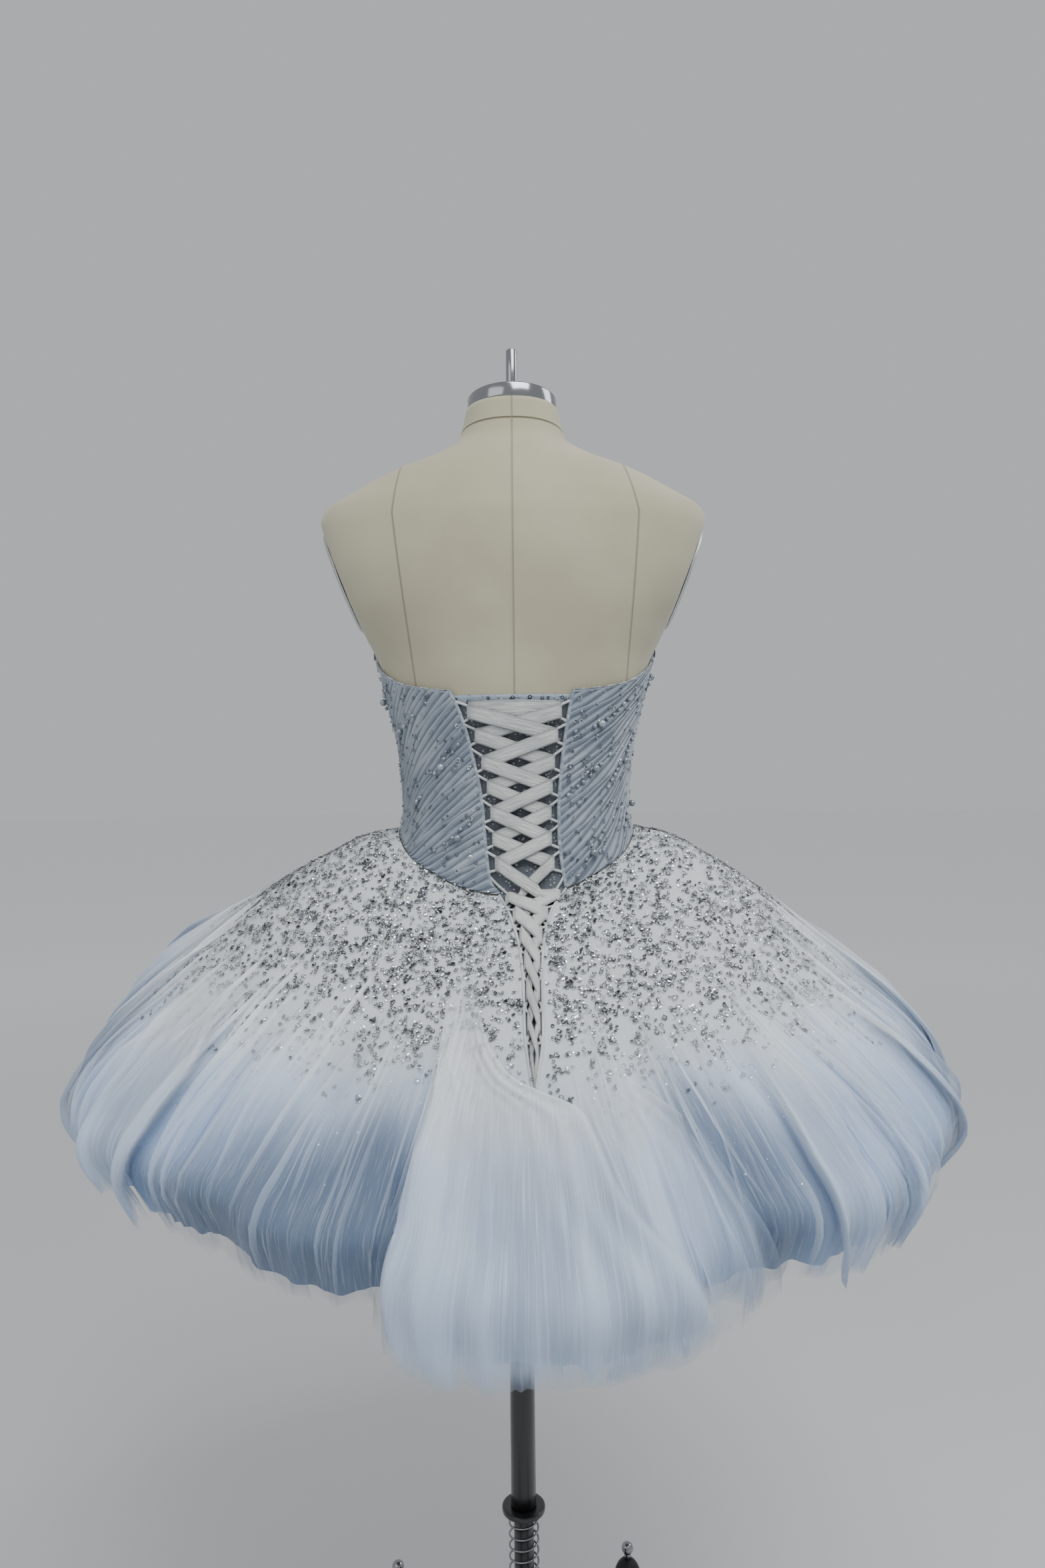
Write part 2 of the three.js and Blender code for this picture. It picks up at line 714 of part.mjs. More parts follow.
// Levels of the lacing from the top: places on the bodice by height, then on the vent by share
const levels = [
  ...bodiceLevels.map((z) => ({ z })),
  ...ventLevels.map((share) => ({ share })),
];

// Edge of the cloth at a level, moved along the lacing by a number of ribbon halves
function edgeAt(level, side, along) {
  if (level.z !== undefined) {
    const z = level.z + along * ribbon.half;
    return { z, x: lookup(lacingEdges, 'z', z, side) };
  }
  const share = Math.max(0, level.share - along * ventRibbonHalf);
  return { share, x: lookup(ventEdges, 'share', share, side) };
}

// Point over the lacing bed at a level's height or share, at a place across it
function bedPoint(at, x, lift) {
  if (at.z !== undefined) {
    const angle = angleAtX(at.z, x, bedLift + lift);
    return bodyPoint(at.z, angle, bedLift + lift);
  }
  const radius = skirtPoint(centreSeamAngle, at.share);
  const angle = deg(Math.asin(THREE.MathUtils.clamp(x / Math.hypot(radius.x, radius.y), -1, 1)));
  return liftedSkirtPoint(angle, at.share, lift);
}

// Scalloped cord along one lacing edge, one loop for each level
function loopCord(side) {
  const inward = side === 'left' ? 1 : -1;
  const foot = cord.gap + cord.radius;
  const path = [];
  levels.forEach((level, number) => {
    const place = edgeAt(level, side, 0);
    const gap = level.z !== undefined ? 60 : edgeAt(level, 'right', 0).x - edgeAt(level, 'left', 0).x;
    const reach = Math.max(foot + 0.3, Math.min(cord.reach, gap * cord.narrowShare));
    const along = (n) => edgeAt(level, side, n);
    const start = along(cord.foot / ribbon.half);
    if (number === 0) path.push(bedPoint(start, start.x + inward * foot, cord.lift));
    const upper = along(cord.half / ribbon.half);
    const lower = along(-cord.half / ribbon.half);
    path.push(bedPoint(upper, place.x + inward * reach, cord.lift));
    path.push(bedPoint(lower, place.x + inward * reach, cord.lift));
    const next = levels[number + 1];
    const end = along(-cord.foot / ribbon.half);
    if (!next || (next.z === undefined) === (level.z === undefined)) {
      path.push(bedPoint(end, end.x + inward * foot, cord.lift));
    } else {
      const seam = { share: 0, x: lookup(ventEdges, 'share', 0, side) };
      path.push(bedPoint(seam, seam.x + inward * (foot + 4), cord.lift));
    }
  });
  return tubeAlong(path, cord.radius, 4);
}

// Tube with square-cut ends through a list of points
function tubeAlong(path, radius, sides) {
  const rings = path.map((p, i) => {
    const before = path[Math.max(0, i - 1)];
    const after = path[Math.min(path.length - 1, i + 1)];
    const along = after.clone().sub(before).normalize();
    const outward = new THREE.Vector3(p.x, p.y, 0).normalize();
    const acrossWay = new THREE.Vector3().crossVectors(along, outward).normalize();
    const lifted = new THREE.Vector3().crossVectors(acrossWay, along).normalize();
    return Array.from({ length: sides }, (_, c) => {
      const turn = ((c + 0.5) / sides) * 2 * Math.PI;
      return p.clone()
        .addScaledVector(acrossWay, Math.cos(turn) * radius)
        .addScaledVector(lifted, Math.sin(turn) * radius);
    });
  });
  return loft(rings);
}

// One flat ribbon, laced from its middle at the top down both sides, crossing at each level
function laceRibbon() {
  const sections = [];
  const foldX = (level, side) => {
    const gap = edgeAt(level, 'right', 0).x - edgeAt(level, 'left', 0).x;
    const inset = level.z !== undefined ? ribbon.foldInset : Math.min(ribbon.foldInset, gap * 0.13 + ribbon.narrowInset);
    return edgeAt(level, side, 0).x + (side === 'left' ? inset : -inset);
  };
  const mixed = (from, to, u) => {
    if (from.z !== undefined && to.z !== undefined) return { z: THREE.MathUtils.lerp(from.z, to.z, u) };
    if (from.share !== undefined) return { share: THREE.MathUtils.lerp(from.share, to.share, u) };
    const waist = bodiceEdge(ribbon.waistAngle, 'waist') + waistGap;
    if (u < ribbon.waistAt) return { z: THREE.MathUtils.lerp(from.z, waist, u / ribbon.waistAt) };
    return { share: to.share * (u - ribbon.waistAt) / (1 - ribbon.waistAt) };
  };
  const shifted = (at, halves) => {
    if (at.z !== undefined) return { z: at.z + halves * ribbon.half };
    return { share: Math.max(0, at.share - halves * ventRibbonHalf) };
  };
  const put = (at, x, lift, face, outSide = 0) => {
    const upper = bedPoint(shifted(at, 1), x, lift);
    const lower = bedPoint(shifted(at, -1), x, lift);
    const away = bedPoint(at, x, lift + 1).sub(bedPoint(at, x, lift)).normalize();
    const thick = outSide ? new THREE.Vector3(-outSide, 0, 0) : away;
    const half = ribbon.thickness * edgeShare * face;
    sections.push([
      upper.clone().addScaledVector(thick, half),
      lower.clone().addScaledVector(thick, half),
      lower.clone().addScaledVector(thick, -half),
      upper.clone().addScaledVector(thick, -half),
    ]);
  };
  const runs = { over: [], under: [] };
  for (let n = 0; n + 1 < levels.length; n += 1) {
    const odd = n % 2 === 0;
    runs.over.push({ from: levels[n], to: levels[n + 1], start: odd ? 'left' : 'right' });
    runs.under.push({ from: levels[n], to: levels[n + 1], start: odd ? 'right' : 'left' });
  }
  const other = { left: 'right', right: 'left' };
  const layer = { over: 2, under: 0 };
  const liftOf = (half, leaving) => ribbon.lowest + ribbon.step * (layer[half] + (leaving ? 1 : 0));
  const stops = [0, 0.4, 0.65, 1];
  let face = 1;
  const walk = (half, backwards) => {
    const list = backwards ? [...runs[half]].reverse() : runs[half];
    list.forEach((run, number) => {
      const order = backwards ? [...stops].reverse() : stops;
      for (const u of order) {
        const at = mixed(run.from, run.to, u);
        const x = THREE.MathUtils.lerp(foldX(run.from, run.start), foldX(run.to, other[run.start]), u);
        put(at, x, liftOf(half, u < 0.5), face);
      }
      if (number + 1 < list.length) {
        const level = backwards ? run.from : run.to;
        const side = backwards ? run.start : other[run.start];
        const sign = side === 'left' ? -1 : 1;
        const middle = (liftOf(half, true) + liftOf(half, false)) / 2;
        const turnFace = backwards ? -face : face;
        put(level, foldX(level, side) + sign * ribbon.foldOut, middle, turnFace, sign);
        face = -face;
      }
    });
  };
  const top = levels[0];
  const fold = (side, half, backwards) => {
    const sign = side === 'left' ? -1 : 1;
    const middle = (liftOf(half, true) + liftOf(half, false)) / 2;
    put(top, foldX(top, side) + sign * ribbon.foldOut, middle, backwards ? -face : face, sign);
    face = -face;
  };
  walk('over', true);
  fold('left', 'over', true);
  const left = foldX(top, 'left');
  const right = foldX(top, 'right');
  put(top, left, liftOf('over', false), face);
  put(top, left + 7, ribbon.lowest + 1.6, face);
  put(top, left + 20, -0.2, face);
  put(top, right - 22, -0.2, face);
  put(top, right - 7, ribbon.lowest - 0.1, face);
  put(top, right, liftOf('under', false), face);
  fold('right', 'under', false);
  walk('under', false);
  return loft(sections);
}

// Metal cap on the neck, and the pin on it, both square to the neck's tilted top
function neckPieces() {
  const tilted = new THREE.Group();
  tilted.position.set(0, 0, neckTop);
  tilted.rotation.x = rad(-neckTilt);
  const top = seamGap + cap.thickness;
  const capProfile = [
    [0, seamGap],
    [cap.radius - cap.edge, seamGap],
    [cap.radius, seamGap + cap.edge],
    [cap.radius, top - cap.edge],
    [cap.radius - cap.edge, top],
    [0, top],
  ];
  const pinBottom = top + seamGap;
  const pinProfile = [
    [0, pinBottom],
    [pin.radius, pinBottom],
    [pin.radius, pinBottom + pin.length - 1],
    [pin.radius - 1, pinBottom + pin.length],
    [0, pinBottom + pin.length],
  ];
  add('neck_cap', turned(capProfile, 28), finish.steel, tilted);
  add('neck_pin', turned(pinProfile, 12), finish.steel, tilted);
  group.add(tilted);
}

// Pole above the flange and thinner rod below it, with the flange and the spring on the rod
function polePieces() {
  const poleProfile = [
    [0, pole.bottom],
    [pole.rodRadius, pole.bottom],
    [pole.rodRadius, pole.shoulder],
    [pole.radius, pole.shoulder],
    [pole.radius, formSections[0].z - seamGap],
    [0, formSections[0].z - seamGap],
  ];
  add('pole', turned(poleProfile, pole.sides), finish.black);
  const top = pole.shoulder - seamGap;
  const hole = pole.rodRadius + hub.clearance;
  const flangeProfile = [
    [hole, top - flange.thickness],
    [flange.radius - 1, top - flange.thickness],
    [flange.radius, top - flange.thickness + 1],
    [flange.radius, top - 1],
    [flange.radius - 1, top],
    [hole, top],
    [hole, top - flange.thickness],
  ];
  add('flange', turned(flangeProfile, pole.sides), finish.black);
  const low = hub.top + spring.wire + seamGap;
  const high = top - flange.thickness - spring.wire - seamGap;
  const mean = spring.outer - spring.wire;
  class Helix extends THREE.Curve {
    getPoint(t, target = new THREE.Vector3()) {
      const turn = t * spring.turns * 2 * Math.PI;
      return target.set(mean * Math.cos(turn), mean * Math.sin(turn), THREE.MathUtils.lerp(low, high, t));
    }
  }
  const section = new THREE.Shape();
  for (let c = 0; c < spring.sides; c += 1) {
    const turn = (c / spring.sides) * 2 * Math.PI;
    const put = c === 0 ? 'moveTo' : 'lineTo';
    section[put](spring.wire * Math.cos(turn), spring.wire * Math.sin(turn));
  }
  section.closePath();
  const steps = Math.round(spring.turns * spring.sections);
  add('spring', new THREE.ExtrudeGeometry(section, { steps, extrudePath: new Helix() }), finish.steel);
}

// Tubular hub that the rod slides in
function hubGeometry() {
  const hole = pole.rodRadius + hub.clearance;
  return turned([
    [hole, hub.bottom],
    [hub.baseRadius, hub.bottom],
    [hub.midRadius, hub.bottom + 12],
    [hub.midRadius, hub.top - 12],
    [hub.topRadius, hub.top],
    [hole, hub.top],
    [hole, hub.bottom],
  ], pole.sides);
}

// One leg with the domed boss at its end, its foot and its ball nut
function standLeg(number, angle) {
  const outward = new THREE.Vector3(Math.sin(rad(angle)), Math.cos(rad(angle)), 0);
  const across = new THREE.Vector3(outward.y, -outward.x, 0);
  const rings = legLine.map(({ out, top, bottom, half }) => {
    const chamfer = half * 0.45;
    const corner = (side, z) => outward.clone().multiplyScalar(out).addScaledVector(across, side)
      .add(new THREE.Vector3(0, 0, z));
    return [
      corner(-half, bottom + chamfer),
      corner(-half + chamfer, bottom),
      corner(half - chamfer, bottom),
      corner(half, bottom + chamfer),
      corner(half, top - chamfer),
      corner(half - chamfer, top),
      corner(-half + chamfer, top),
      corner(-half, top - chamfer),
    ];
  });
  const end = outward.clone().multiplyScalar(legReach);
  const bossProfile = [
    [0, boss.bottom],
    [boss.radius, boss.bottom],
    [boss.radius, boss.shoulder],
    [boss.radius * 0.93, boss.shoulder + 9],
    [boss.radius * 0.72, boss.shoulder + 17],
    [boss.radius * 0.4, boss.dome - 1.5],
    [boss.radius * 0.32, boss.dome],
    [0, boss.dome],
  ];
  const bossGeometry = turned(bossProfile, 12).translate(end.x, end.y, 0);
  add(`leg_${number}`, fromManifold(toManifold(loft(rings)).add(toManifold(bossGeometry))), finish.iron);
  const footTop = boss.bottom - seamGap;
  const footProfile = [
    [0, 0],
    [foot.padRadius - 2, 0],
    [foot.padRadius, 2],
    [foot.padRadius, foot.padHeight - 4],
    [foot.stemRadius, foot.padHeight],
    [foot.stemRadius, footTop],
    [0, footTop],
  ];
  add(`foot_${number}`, turned(footProfile, 12).translate(end.x, end.y, 0), finish.rubber);
  const nutBottom = boss.dome + seamGap;
  const centreZ = nutBottom + ball.neckHeight + ball.radius * 0.75;
  const nutProfile = [[0, nutBottom], [ball.neckRadius, nutBottom], [ball.neckRadius, nutBottom + ball.neckHeight]];
  for (const up of [-40, -10, 25, 60]) {
    nutProfile.push([ball.radius * Math.cos(rad(up)), centreZ + ball.radius * Math.sin(rad(up))]);
  }
  nutProfile.push([0, centreZ + ball.radius]);
  add(`ball_nut_${number}`, turned(nutProfile, ball.sides).translate(end.x, end.y, 0), finish.steel);
}

for (const [name, panel] of Object.entries(bodicePanels)) {
  add(name, bodicePanel(panel), finish.bodice);
}
add('modesty_panel', modestyPanel(), finish.modesty);
add('loops_left', loopCord('left'), finish.satin);
add('loops_right', loopCord('right'), finish.satin);
add('lace', laceRibbon(), finish.satin);
for (const [name, panel] of Object.entries(skirtPanels)) {
  add(name, skirtPanel(panel), finish.skirt);
}
add('petticoat', petticoatRing(), finish.net);
add('form_torso', formTorso(), finish.linen);
add('armhole_plate_left', armholePlate(-1), finish.plate);
add('armhole_plate_right', armholePlate(1), finish.plate);
neckPieces();
polePieces();
add('hub', hubGeometry(), finish.iron);
legAngles.forEach((angle, i) => standLeg(i + 1, angle));

export default group;
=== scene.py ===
# Short ball gown, laced at the back, on a limbless dress form and its stand.
# The gown's tables repeat the solids' own, in millimetres and degrees, with the back at angle 0 and the
# wearer's right at 90. A share is a place down the skirt, from 0 at the waist to 1 at the hem.
# Meshes are made in metres, in the solids' frame.
from math import cos, pi, radians, sin

import bmesh
import bpy
import numpy as np
from mathutils import Matrix, Vector
from mathutils.bvhtree import BVHTree


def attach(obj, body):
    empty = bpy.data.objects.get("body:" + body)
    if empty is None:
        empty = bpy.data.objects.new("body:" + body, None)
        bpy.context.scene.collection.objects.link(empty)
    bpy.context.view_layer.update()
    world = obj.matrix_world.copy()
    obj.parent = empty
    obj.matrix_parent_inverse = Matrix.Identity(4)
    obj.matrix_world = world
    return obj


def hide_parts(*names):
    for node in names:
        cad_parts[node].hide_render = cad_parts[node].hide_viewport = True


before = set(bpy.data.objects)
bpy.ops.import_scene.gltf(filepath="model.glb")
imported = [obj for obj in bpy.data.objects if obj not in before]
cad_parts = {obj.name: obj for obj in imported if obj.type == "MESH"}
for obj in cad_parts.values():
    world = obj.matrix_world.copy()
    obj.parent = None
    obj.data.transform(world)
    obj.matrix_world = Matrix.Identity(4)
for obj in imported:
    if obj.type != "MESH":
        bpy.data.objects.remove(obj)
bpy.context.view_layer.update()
mm = 0.001


# smooth lines through tables, as the solids read them
def curve(places, values):
    places, values = np.array(places, float), np.array(values, float)
    slope = np.diff(values) / np.diff(places)
    bend = np.empty(len(places))
    bend[0], bend[-1] = slope[0], slope[-1]
    before, after = slope[:-1], slope[1:]
    same = before * after > 0
    bend[1:-1] = np.where(same, 2 * before * after / np.where(same, before + after, 1), 0)

    def read(at):
        at = np.clip(np.asarray(at, float), places[0], places[-1])
        row = np.clip(np.searchsorted(places, at) - 1, 0, len(places) - 2)
        span = places[row + 1] - places[row]
        s = (at - places[row]) / span
        rise = s * s * (3 - 2 * s)
        bent = bend[row] * s * (1 - s) ** 2 - bend[row + 1] * s * s * (1 - s)
        return values[row] * (1 - rise) + values[row + 1] * rise + span * bent
    return read


def smooth(at, low, high):
    s = np.clip((np.asarray(at, float) - low) / (high - low), 0, 1)
    return s * s * (3 - 2 * s)


def wrap(angle):
    return (np.asarray(angle, float) + 180) % 360 - 180


def polar(radius, angle, z):
    turn = np.radians(angle)
    return np.stack(np.broadcast_arrays(radius * np.sin(turn), -radius * np.cos(turn), z), -1)


def unit(vectors):
    return vectors / np.maximum(np.linalg.norm(vectors, axis=-1, keepdims=True), 1e-9)


# the form's surface
formShape = dict(
    z=[800, 860, 930, 985, 1035, 1060, 1081, 1113, 1137, 1170, 1206, 1237, 1270, 1305, 1345, 1363, 1380, 1402,
       1418, 1438, 1480],
    width=[166, 168, 158, 136, 118, 114.5, 116, 119, 123.5, 132, 141.5, 158, 180, 197, 204, 199, 173, 131,
           88, 57.5, 46.5],
    back=[108, 110, 105, 97, 91, 90, 90, 91, 93, 96, 99, 102, 104, 105, 102, 98, 93, 84, 74, 58, 46],
    front=[98, 98, 95, 90, 84, 82, 84, 90, 97, 106, 112, 110, 104, 95, 84, 78, 72, 62, 56, 50, 46],
    squareness=2.3, neckTop=1470, neckTilt=5, armX=178, armZ=1294, armTilt=20.6,
)
formWidth = curve(formShape["z"], formShape["width"])
formBack = curve(formShape["z"], formShape["back"])
formFront = curve(formShape["z"], formShape["front"])


def formReach(z, angle):
    across, along = np.sin(np.radians(angle)), np.cos(np.radians(angle))
    depth = np.where(along > 0, formBack(z), formFront(z))
    power = formShape["squareness"]
    plain = (np.abs(across / formWidth(z)) ** power + np.abs(along / depth) ** power) ** (-1 / power)
    fromCup = (np.abs(wrap(angle - 180)) - 38) / 25
    fromLevel = (z - 1212) / 56
    return plain + 19 * np.exp(-fromCup ** 2 - fromLevel ** 2)


def bodyPoint(z, angle, lift):
    return polar(formReach(z, angle) + lift, angle, z)


def angleAtX(z, x, lift):
    angle = np.zeros(np.broadcast(z, x).shape)
    for _ in range(8):
        angle = np.degrees(np.arcsin(np.clip(x / (formReach(z, angle) + lift), -1, 1)))
    return angle


# the gown's edges and the skirt's surface
edgeAngle = [0, 12, 26, 36, 47, 60, 74, 90, 110, 130, 144, 160, 172, 180]
bodiceTop = curve(edgeAngle, [1171, 1171, 1171, 1172, 1175, 1181, 1194, 1210, 1234, 1255, 1261, 1244, 1216,
                              1206])
bodiceWaist = curve(edgeAngle, [973, 975, 980, 988, 999, 1012, 1027, 1036, 1030, 1012, 999, 985, 976, 973])
laceZ = [976, 986, 1006, 1031, 1056, 1081, 1109, 1134, 1154, 1172]
laceEdge = {
    "left": curve(laceZ, [-16, -23.6, -26.6, -28.9, -30.6, -34.2, -40.4, -46.6, -53.5, -62.5]),
    "right": curve(laceZ, [47.3, 45.5, 42.6, 40.6, 40.6, 42.4, 45.4, 48.9, 52.4, 56.5]),
}
ventShare = [0, 0.09, 0.2, 0.29, 0.42, 0.54]
ventEdge = {
    "left": curve(ventShare, [-16, -5.2, 3.6, 6.7, 7.8, 13.2]),
    "right": curve(ventShare, [47.3, 31, 23.3, 21.3, 20.6, 14]),
}
ventTip, seamAngle, bedLift = 0.54, 2.7, 5

sideShare = [0, 0.08, 0.16, 0.3, 0.42, 0.6, 0.74, 0.84, 0.92, 1]
sideOut = curve(sideShare, [0, 0.126, 0.24, 0.42, 0.555, 0.77, 0.92, 0.985, 1, 0.92])
sideDown = curve(sideShare, [0, 0.03, 0.095, 0.215, 0.335, 0.52, 0.67, 0.77, 0.86, 1])
backShare = [0, 0.08, 0.16, 0.3, 0.42, 0.56, 0.7, 0.82, 0.92, 1]
backOut = curve(backShare, [0, 0.095, 0.185, 0.34, 0.475, 0.625, 0.78, 0.905, 1, 0.985])
backDown = curve(backShare, [0, 0.045, 0.105, 0.225, 0.34, 0.48, 0.62, 0.75, 0.875, 1])
hemAngle = [-194, -168, -138, -112, -92, -74, -56, -40, -26, -14, -8, 4, 14, 20, 28, 38, 48, 60, 74, 92, 116,
            142, 166, 192]
hemRadius = curve(hemAngle, [432, 428, 420, 446, 428, 431, 421, 406, 403, 403, 425, 432, 428, 424, 426, 434,
                             428, 424, 421, 421, 428, 430, 432, 428])
hemZ = curve(hemAngle, [800, 800, 806, 830, 778, 742, 738, 735, 722, 716, 701, 694, 697, 710, 731, 731, 737,
                        740, 745, 754, 790, 802, 800, 800])
valleys = [(-11, 36, 6), (21, 34, 7), (49, 18, 8), (-34, 10, 8), (-54, 14, 8), (78, 19, 9), (-90, 30, 8),
           (104, 22, 9), (130, 24, 10), (154, 20, 9), (180, 24, 10), (-154, 22, 9), (-126, 24, 9)]


def valleyDepth(angle):
    return sum(deep * np.exp(-(np.abs(wrap(angle - at)) / wide) ** 1.25) for at, deep, wide in valleys)


def skirtPoint(angle, share):
    angle, share = np.broadcast_arrays(np.asarray(angle, float), np.asarray(share, float))
    waistZ = bodiceWaist(np.abs(wrap(angle))) - 0.9
    waistR = formReach(waistZ, angle) + bedLift
    behind = np.maximum(0, np.cos(np.radians(angle))) ** 2
    out = backOut(share) * behind + sideOut(share) * (1 - behind)
    down = backDown(share) * behind + sideDown(share) * (1 - behind)
    beyond = np.maximum(share - 1, 0)  # cloth that hangs past the solids' hem
    radius = waistR + (hemRadius(wrap(angle)) - waistR) * out
    radius = radius - valleyDepth(angle) * smooth(share, 0.18, 1) - beyond * 150
    return polar(radius, angle, waistZ - (waistZ - hemZ(wrap(angle))) * (down + beyond * 1.1))


def skirtNormal(angle, share):
    low, high = np.maximum(0, share - 0.01), share + 0.01
    across = skirtPoint(angle + 0.6, share) - skirtPoint(angle - 0.6, share)
    return unit(np.cross(skirtPoint(angle, high) - skirtPoint(angle, low), across))


def onSkirt(angle, share, lift):
    return skirtPoint(angle, share) + skirtNormal(angle, share) * np.asarray(lift)[..., None]


def ventAngle(share, side):
    x = ventEdge[side](share)
    angle = np.full(np.shape(share), seamAngle)
    for _ in range(8):
        p = skirtPoint(angle, share)
        angle = np.degrees(np.arcsin(np.clip(x / np.hypot(p[..., 0], p[..., 1]), -1, 1)))
    return np.where(np.asarray(share) > ventTip, seamAngle, angle)


# materials: a socket that adds and multiplies like a number, and a finish that makes nodes
class Socket:
    def __init__(self, finish, socket):
        self.finish, self.socket = finish, socket

    def math(self, operation, first, second):
        return self.finish.node("Math", dict(operation=operation), first, second)

    def __add__(self, other):
        return self.math("ADD", self, other)

    def __sub__(self, other):
        return self.math("SUBTRACT", self, other)

    def __rsub__(self, other):
        return self.math("SUBTRACT", other, self)

    def __mul__(self, other):
        return self.math("MULTIPLY", self, other)

    __radd__ = __add__


def tone(red, green, blue):  # a colour as the screen shows it, made linear
    return tuple(((c / 255 + 0.055) / 1.055) ** 2.4 for c in (red, green, blue)) + (1.0,)


class Finish:
    def __init__(self, name, **fixed):
        self.material = bpy.data.materials.new(name)
        self.material.use_nodes = True
        self.tree = self.material.node_tree
        self.shader = self.tree.nodes["Principled BSDF"]
        for socket, value in fixed.items():
            self.shader.inputs[socket.replace("_", " ")].default_value = value

    def node(self, kind, settings=None, *values, out=0, **named):
        made = self.tree.nodes.new("ShaderNode" + kind)
        for key, value in (settings or {}).items():
            setattr(made, key, value)
        for at, value in [*enumerate(values), *((k.replace("_", " "), v) for k, v in named.items())]:
            if isinstance(value, Socket):
                self.tree.links.new(value.socket, made.inputs[at])
            elif value is not None:
                made.inputs[at].default_value = value
        return Socket(self, made.outputs[out])

    def mix(self, factor, first, second):
        made = self.node("Mix", dict(data_type="RGBA"), factor, out=2)
        for at, value in ((6, first), (7, second)):
            socket = made.socket.node.inputs[at]
            if isinstance(value, Socket):
                self.tree.links.new(value.socket, socket)
            else:
                socket.default_value = value
        return made

    def step(self, value, low, high, first=0.0, last=1.0):
        return self.node("MapRange", dict(interpolation_type="SMOOTHSTEP"), value, low, high, first, last)

    def place(self, x=1.0, y=1.0, z=1.0, uv=False):  # where a pattern is, stretched along each way
        at = self.node("UVMap", dict(uv_map="cloth")) if uv else self.node("TexCoord", None, out=3)
        return self.node("VectorMath", dict(operation="MULTIPLY"), at, (x, y, z))

    def noise(self, at, detail, rough=0.5):
        return self.node("TexNoise", None, Vector=at, Scale=1.0, Detail=detail, Roughness=rough)

    def value(self, name):  # a number kept on the mesh's points
        return self.node("Attribute", dict(attribute_name=name), out=2)

    def bump(self, height, distance, strength=1.0):
        return self.node("Bump", None, Height=height, Distance=distance, Strength=strength)

    def paint(self, **linked):
        for socket, value in linked.items():
            self.tree.links.new(value.socket, self.shader.inputs[socket.replace("_", " ")])
        return self.material


# helpers for meshes
def finishPiece(item, material, body="form", replaces=()):
    item.data.materials.clear()
    item.data.materials.append(material)
    item.data.polygons.foreach_set("use_smooth", [True] * len(item.data.polygons))
    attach(item, body)
    if replaces:
        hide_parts(*replaces)
    return item


def newObject(name, mesh):
    item = bpy.data.objects.new(name, mesh)
    bpy.context.scene.collection.objects.link(item)
    return item


def fromBmesh(name, bm):
    mesh = bpy.data.meshes.new(name)
    bm.to_mesh(mesh)
    bm.free()
    return newObject(name, mesh)


def joined(name, items):
    with bpy.context.temp_override(active_object=items[0], selected_editable_objects=items):
        bpy.ops.object.join()
    items[0].name = items[0].data.name = name
    return items[0]


# a cloth: a grid whose points are placed by place(across, down), each from 0 to 1
# with more strips than one, the grid is parted, and place also gets each point's strip
def cloth(name, columns, rows, place, close=False, strips=1):
    bm = bmesh.new()
    whole = strips * (columns + 1) - 1
    bmesh.ops.create_grid(bm, x_segments=whole, y_segments=rows, size=0.5)
    bm.verts.index_update()
    across = np.array([v.co.x for v in bm.verts]) + 0.5
    down = 0.5 - np.array([v.co.y for v in bm.verts])
    if strips > 1:
        column = np.rint(across * whole).astype(int)
        strip = column // (columns + 1)
        between = [f for f in bm.faces if strip[f.verts[0].index] != strip[f.verts[2].index]]
        bmesh.ops.delete(bm, geom=between, context="FACES")
        placed = place((column % (columns + 1)) / columns, down, strip)
    else:
        placed = place(across, down)
    item = fromBmesh(name, bm)
    mesh = item.data
    mesh.vertices.foreach_set("co", (placed["points"] * mm).ravel())
    corner = np.empty(len(mesh.loops), int)
    mesh.loops.foreach_get("vertex_index", corner)
    uv = np.stack([placed["u"], placed["v"]], -1)[corner].ravel()
    mesh.uv_layers.new(name="cloth").data.foreach_set("uv", uv)
    for key in placed:
        if key not in ("points", "u", "v"):
            mesh.attributes.new(key, "FLOAT", "POINT").data.foreach_set("value", placed[key])
    bm = bmesh.new()
    bm.from_mesh(mesh)
    bmesh.ops.dissolve_degenerate(bm, dist=1e-6, edges=bm.edges)
    if close:
        bmesh.ops.remove_doubles(bm, verts=bm.verts, dist=1e-5)
    outward = sum(f.normal.dot(f.calc_center_median() * Vector((1, 1, 0))) * f.calc_area() for f in bm.faces)
    if outward < 0:
        bmesh.ops.reverse_faces(bm, faces=bm.faces)
    bm.to_mesh(mesh)
    bm.free()
    return item


def thicken(item, thickness):
    wall = item.modifiers.new("thickness", "SOLIDIFY")
    wall.thickness, wall.offset = thickness * mm, -1
    return item


def smoothLine(points, step):
    # a Catmull-Rom line through the points
    points = np.array(points, float)
    ends = np.vstack([2 * points[0] - points[1], points, 2 * points[-1] - points[-2]])
    line = []
    for a, b, c, d in zip(ends, ends[1:], ends[2:], ends[3:]):
        count = max(2, int(np.linalg.norm(c - b) / step))
        for s in np.arange(count) / count:
            line.append(0.5 * (2 * b + (c - a) * s + (2 * a - 5 * b + 4 * c - d) * s ** 2
                               + (3 * b - a - 3 * c + d) * s ** 3))
    return np.array([*line, points[-1]])


def tubes(name, lines, radius, sides):
    curves = bpy.data.curves.new(name, "CURVE")
    curves.dimensions = "3D"
    curves.bevel_depth, curves.bevel_resolution, curves.use_fill_caps = radius * mm, sides, True
    for line in lines:
        spline = curves.splines.new("POLY")
        spline.points.add(len(line) - 1)
        spline.points.foreach_set("co", np.hstack([np.array(line) * mm, np.ones((len(line), 1))]).ravel())
    holder = bpy.data.objects.new(name, curves)
    bpy.context.scene.collection.objects.link(holder)
    mesh = bpy.data.meshes.new_from_object(holder.evaluated_get(bpy.context.evaluated_depsgraph_get()))
    bpy.data.objects.remove(holder)
    mesh.name = name
    return newObject(name, mesh)


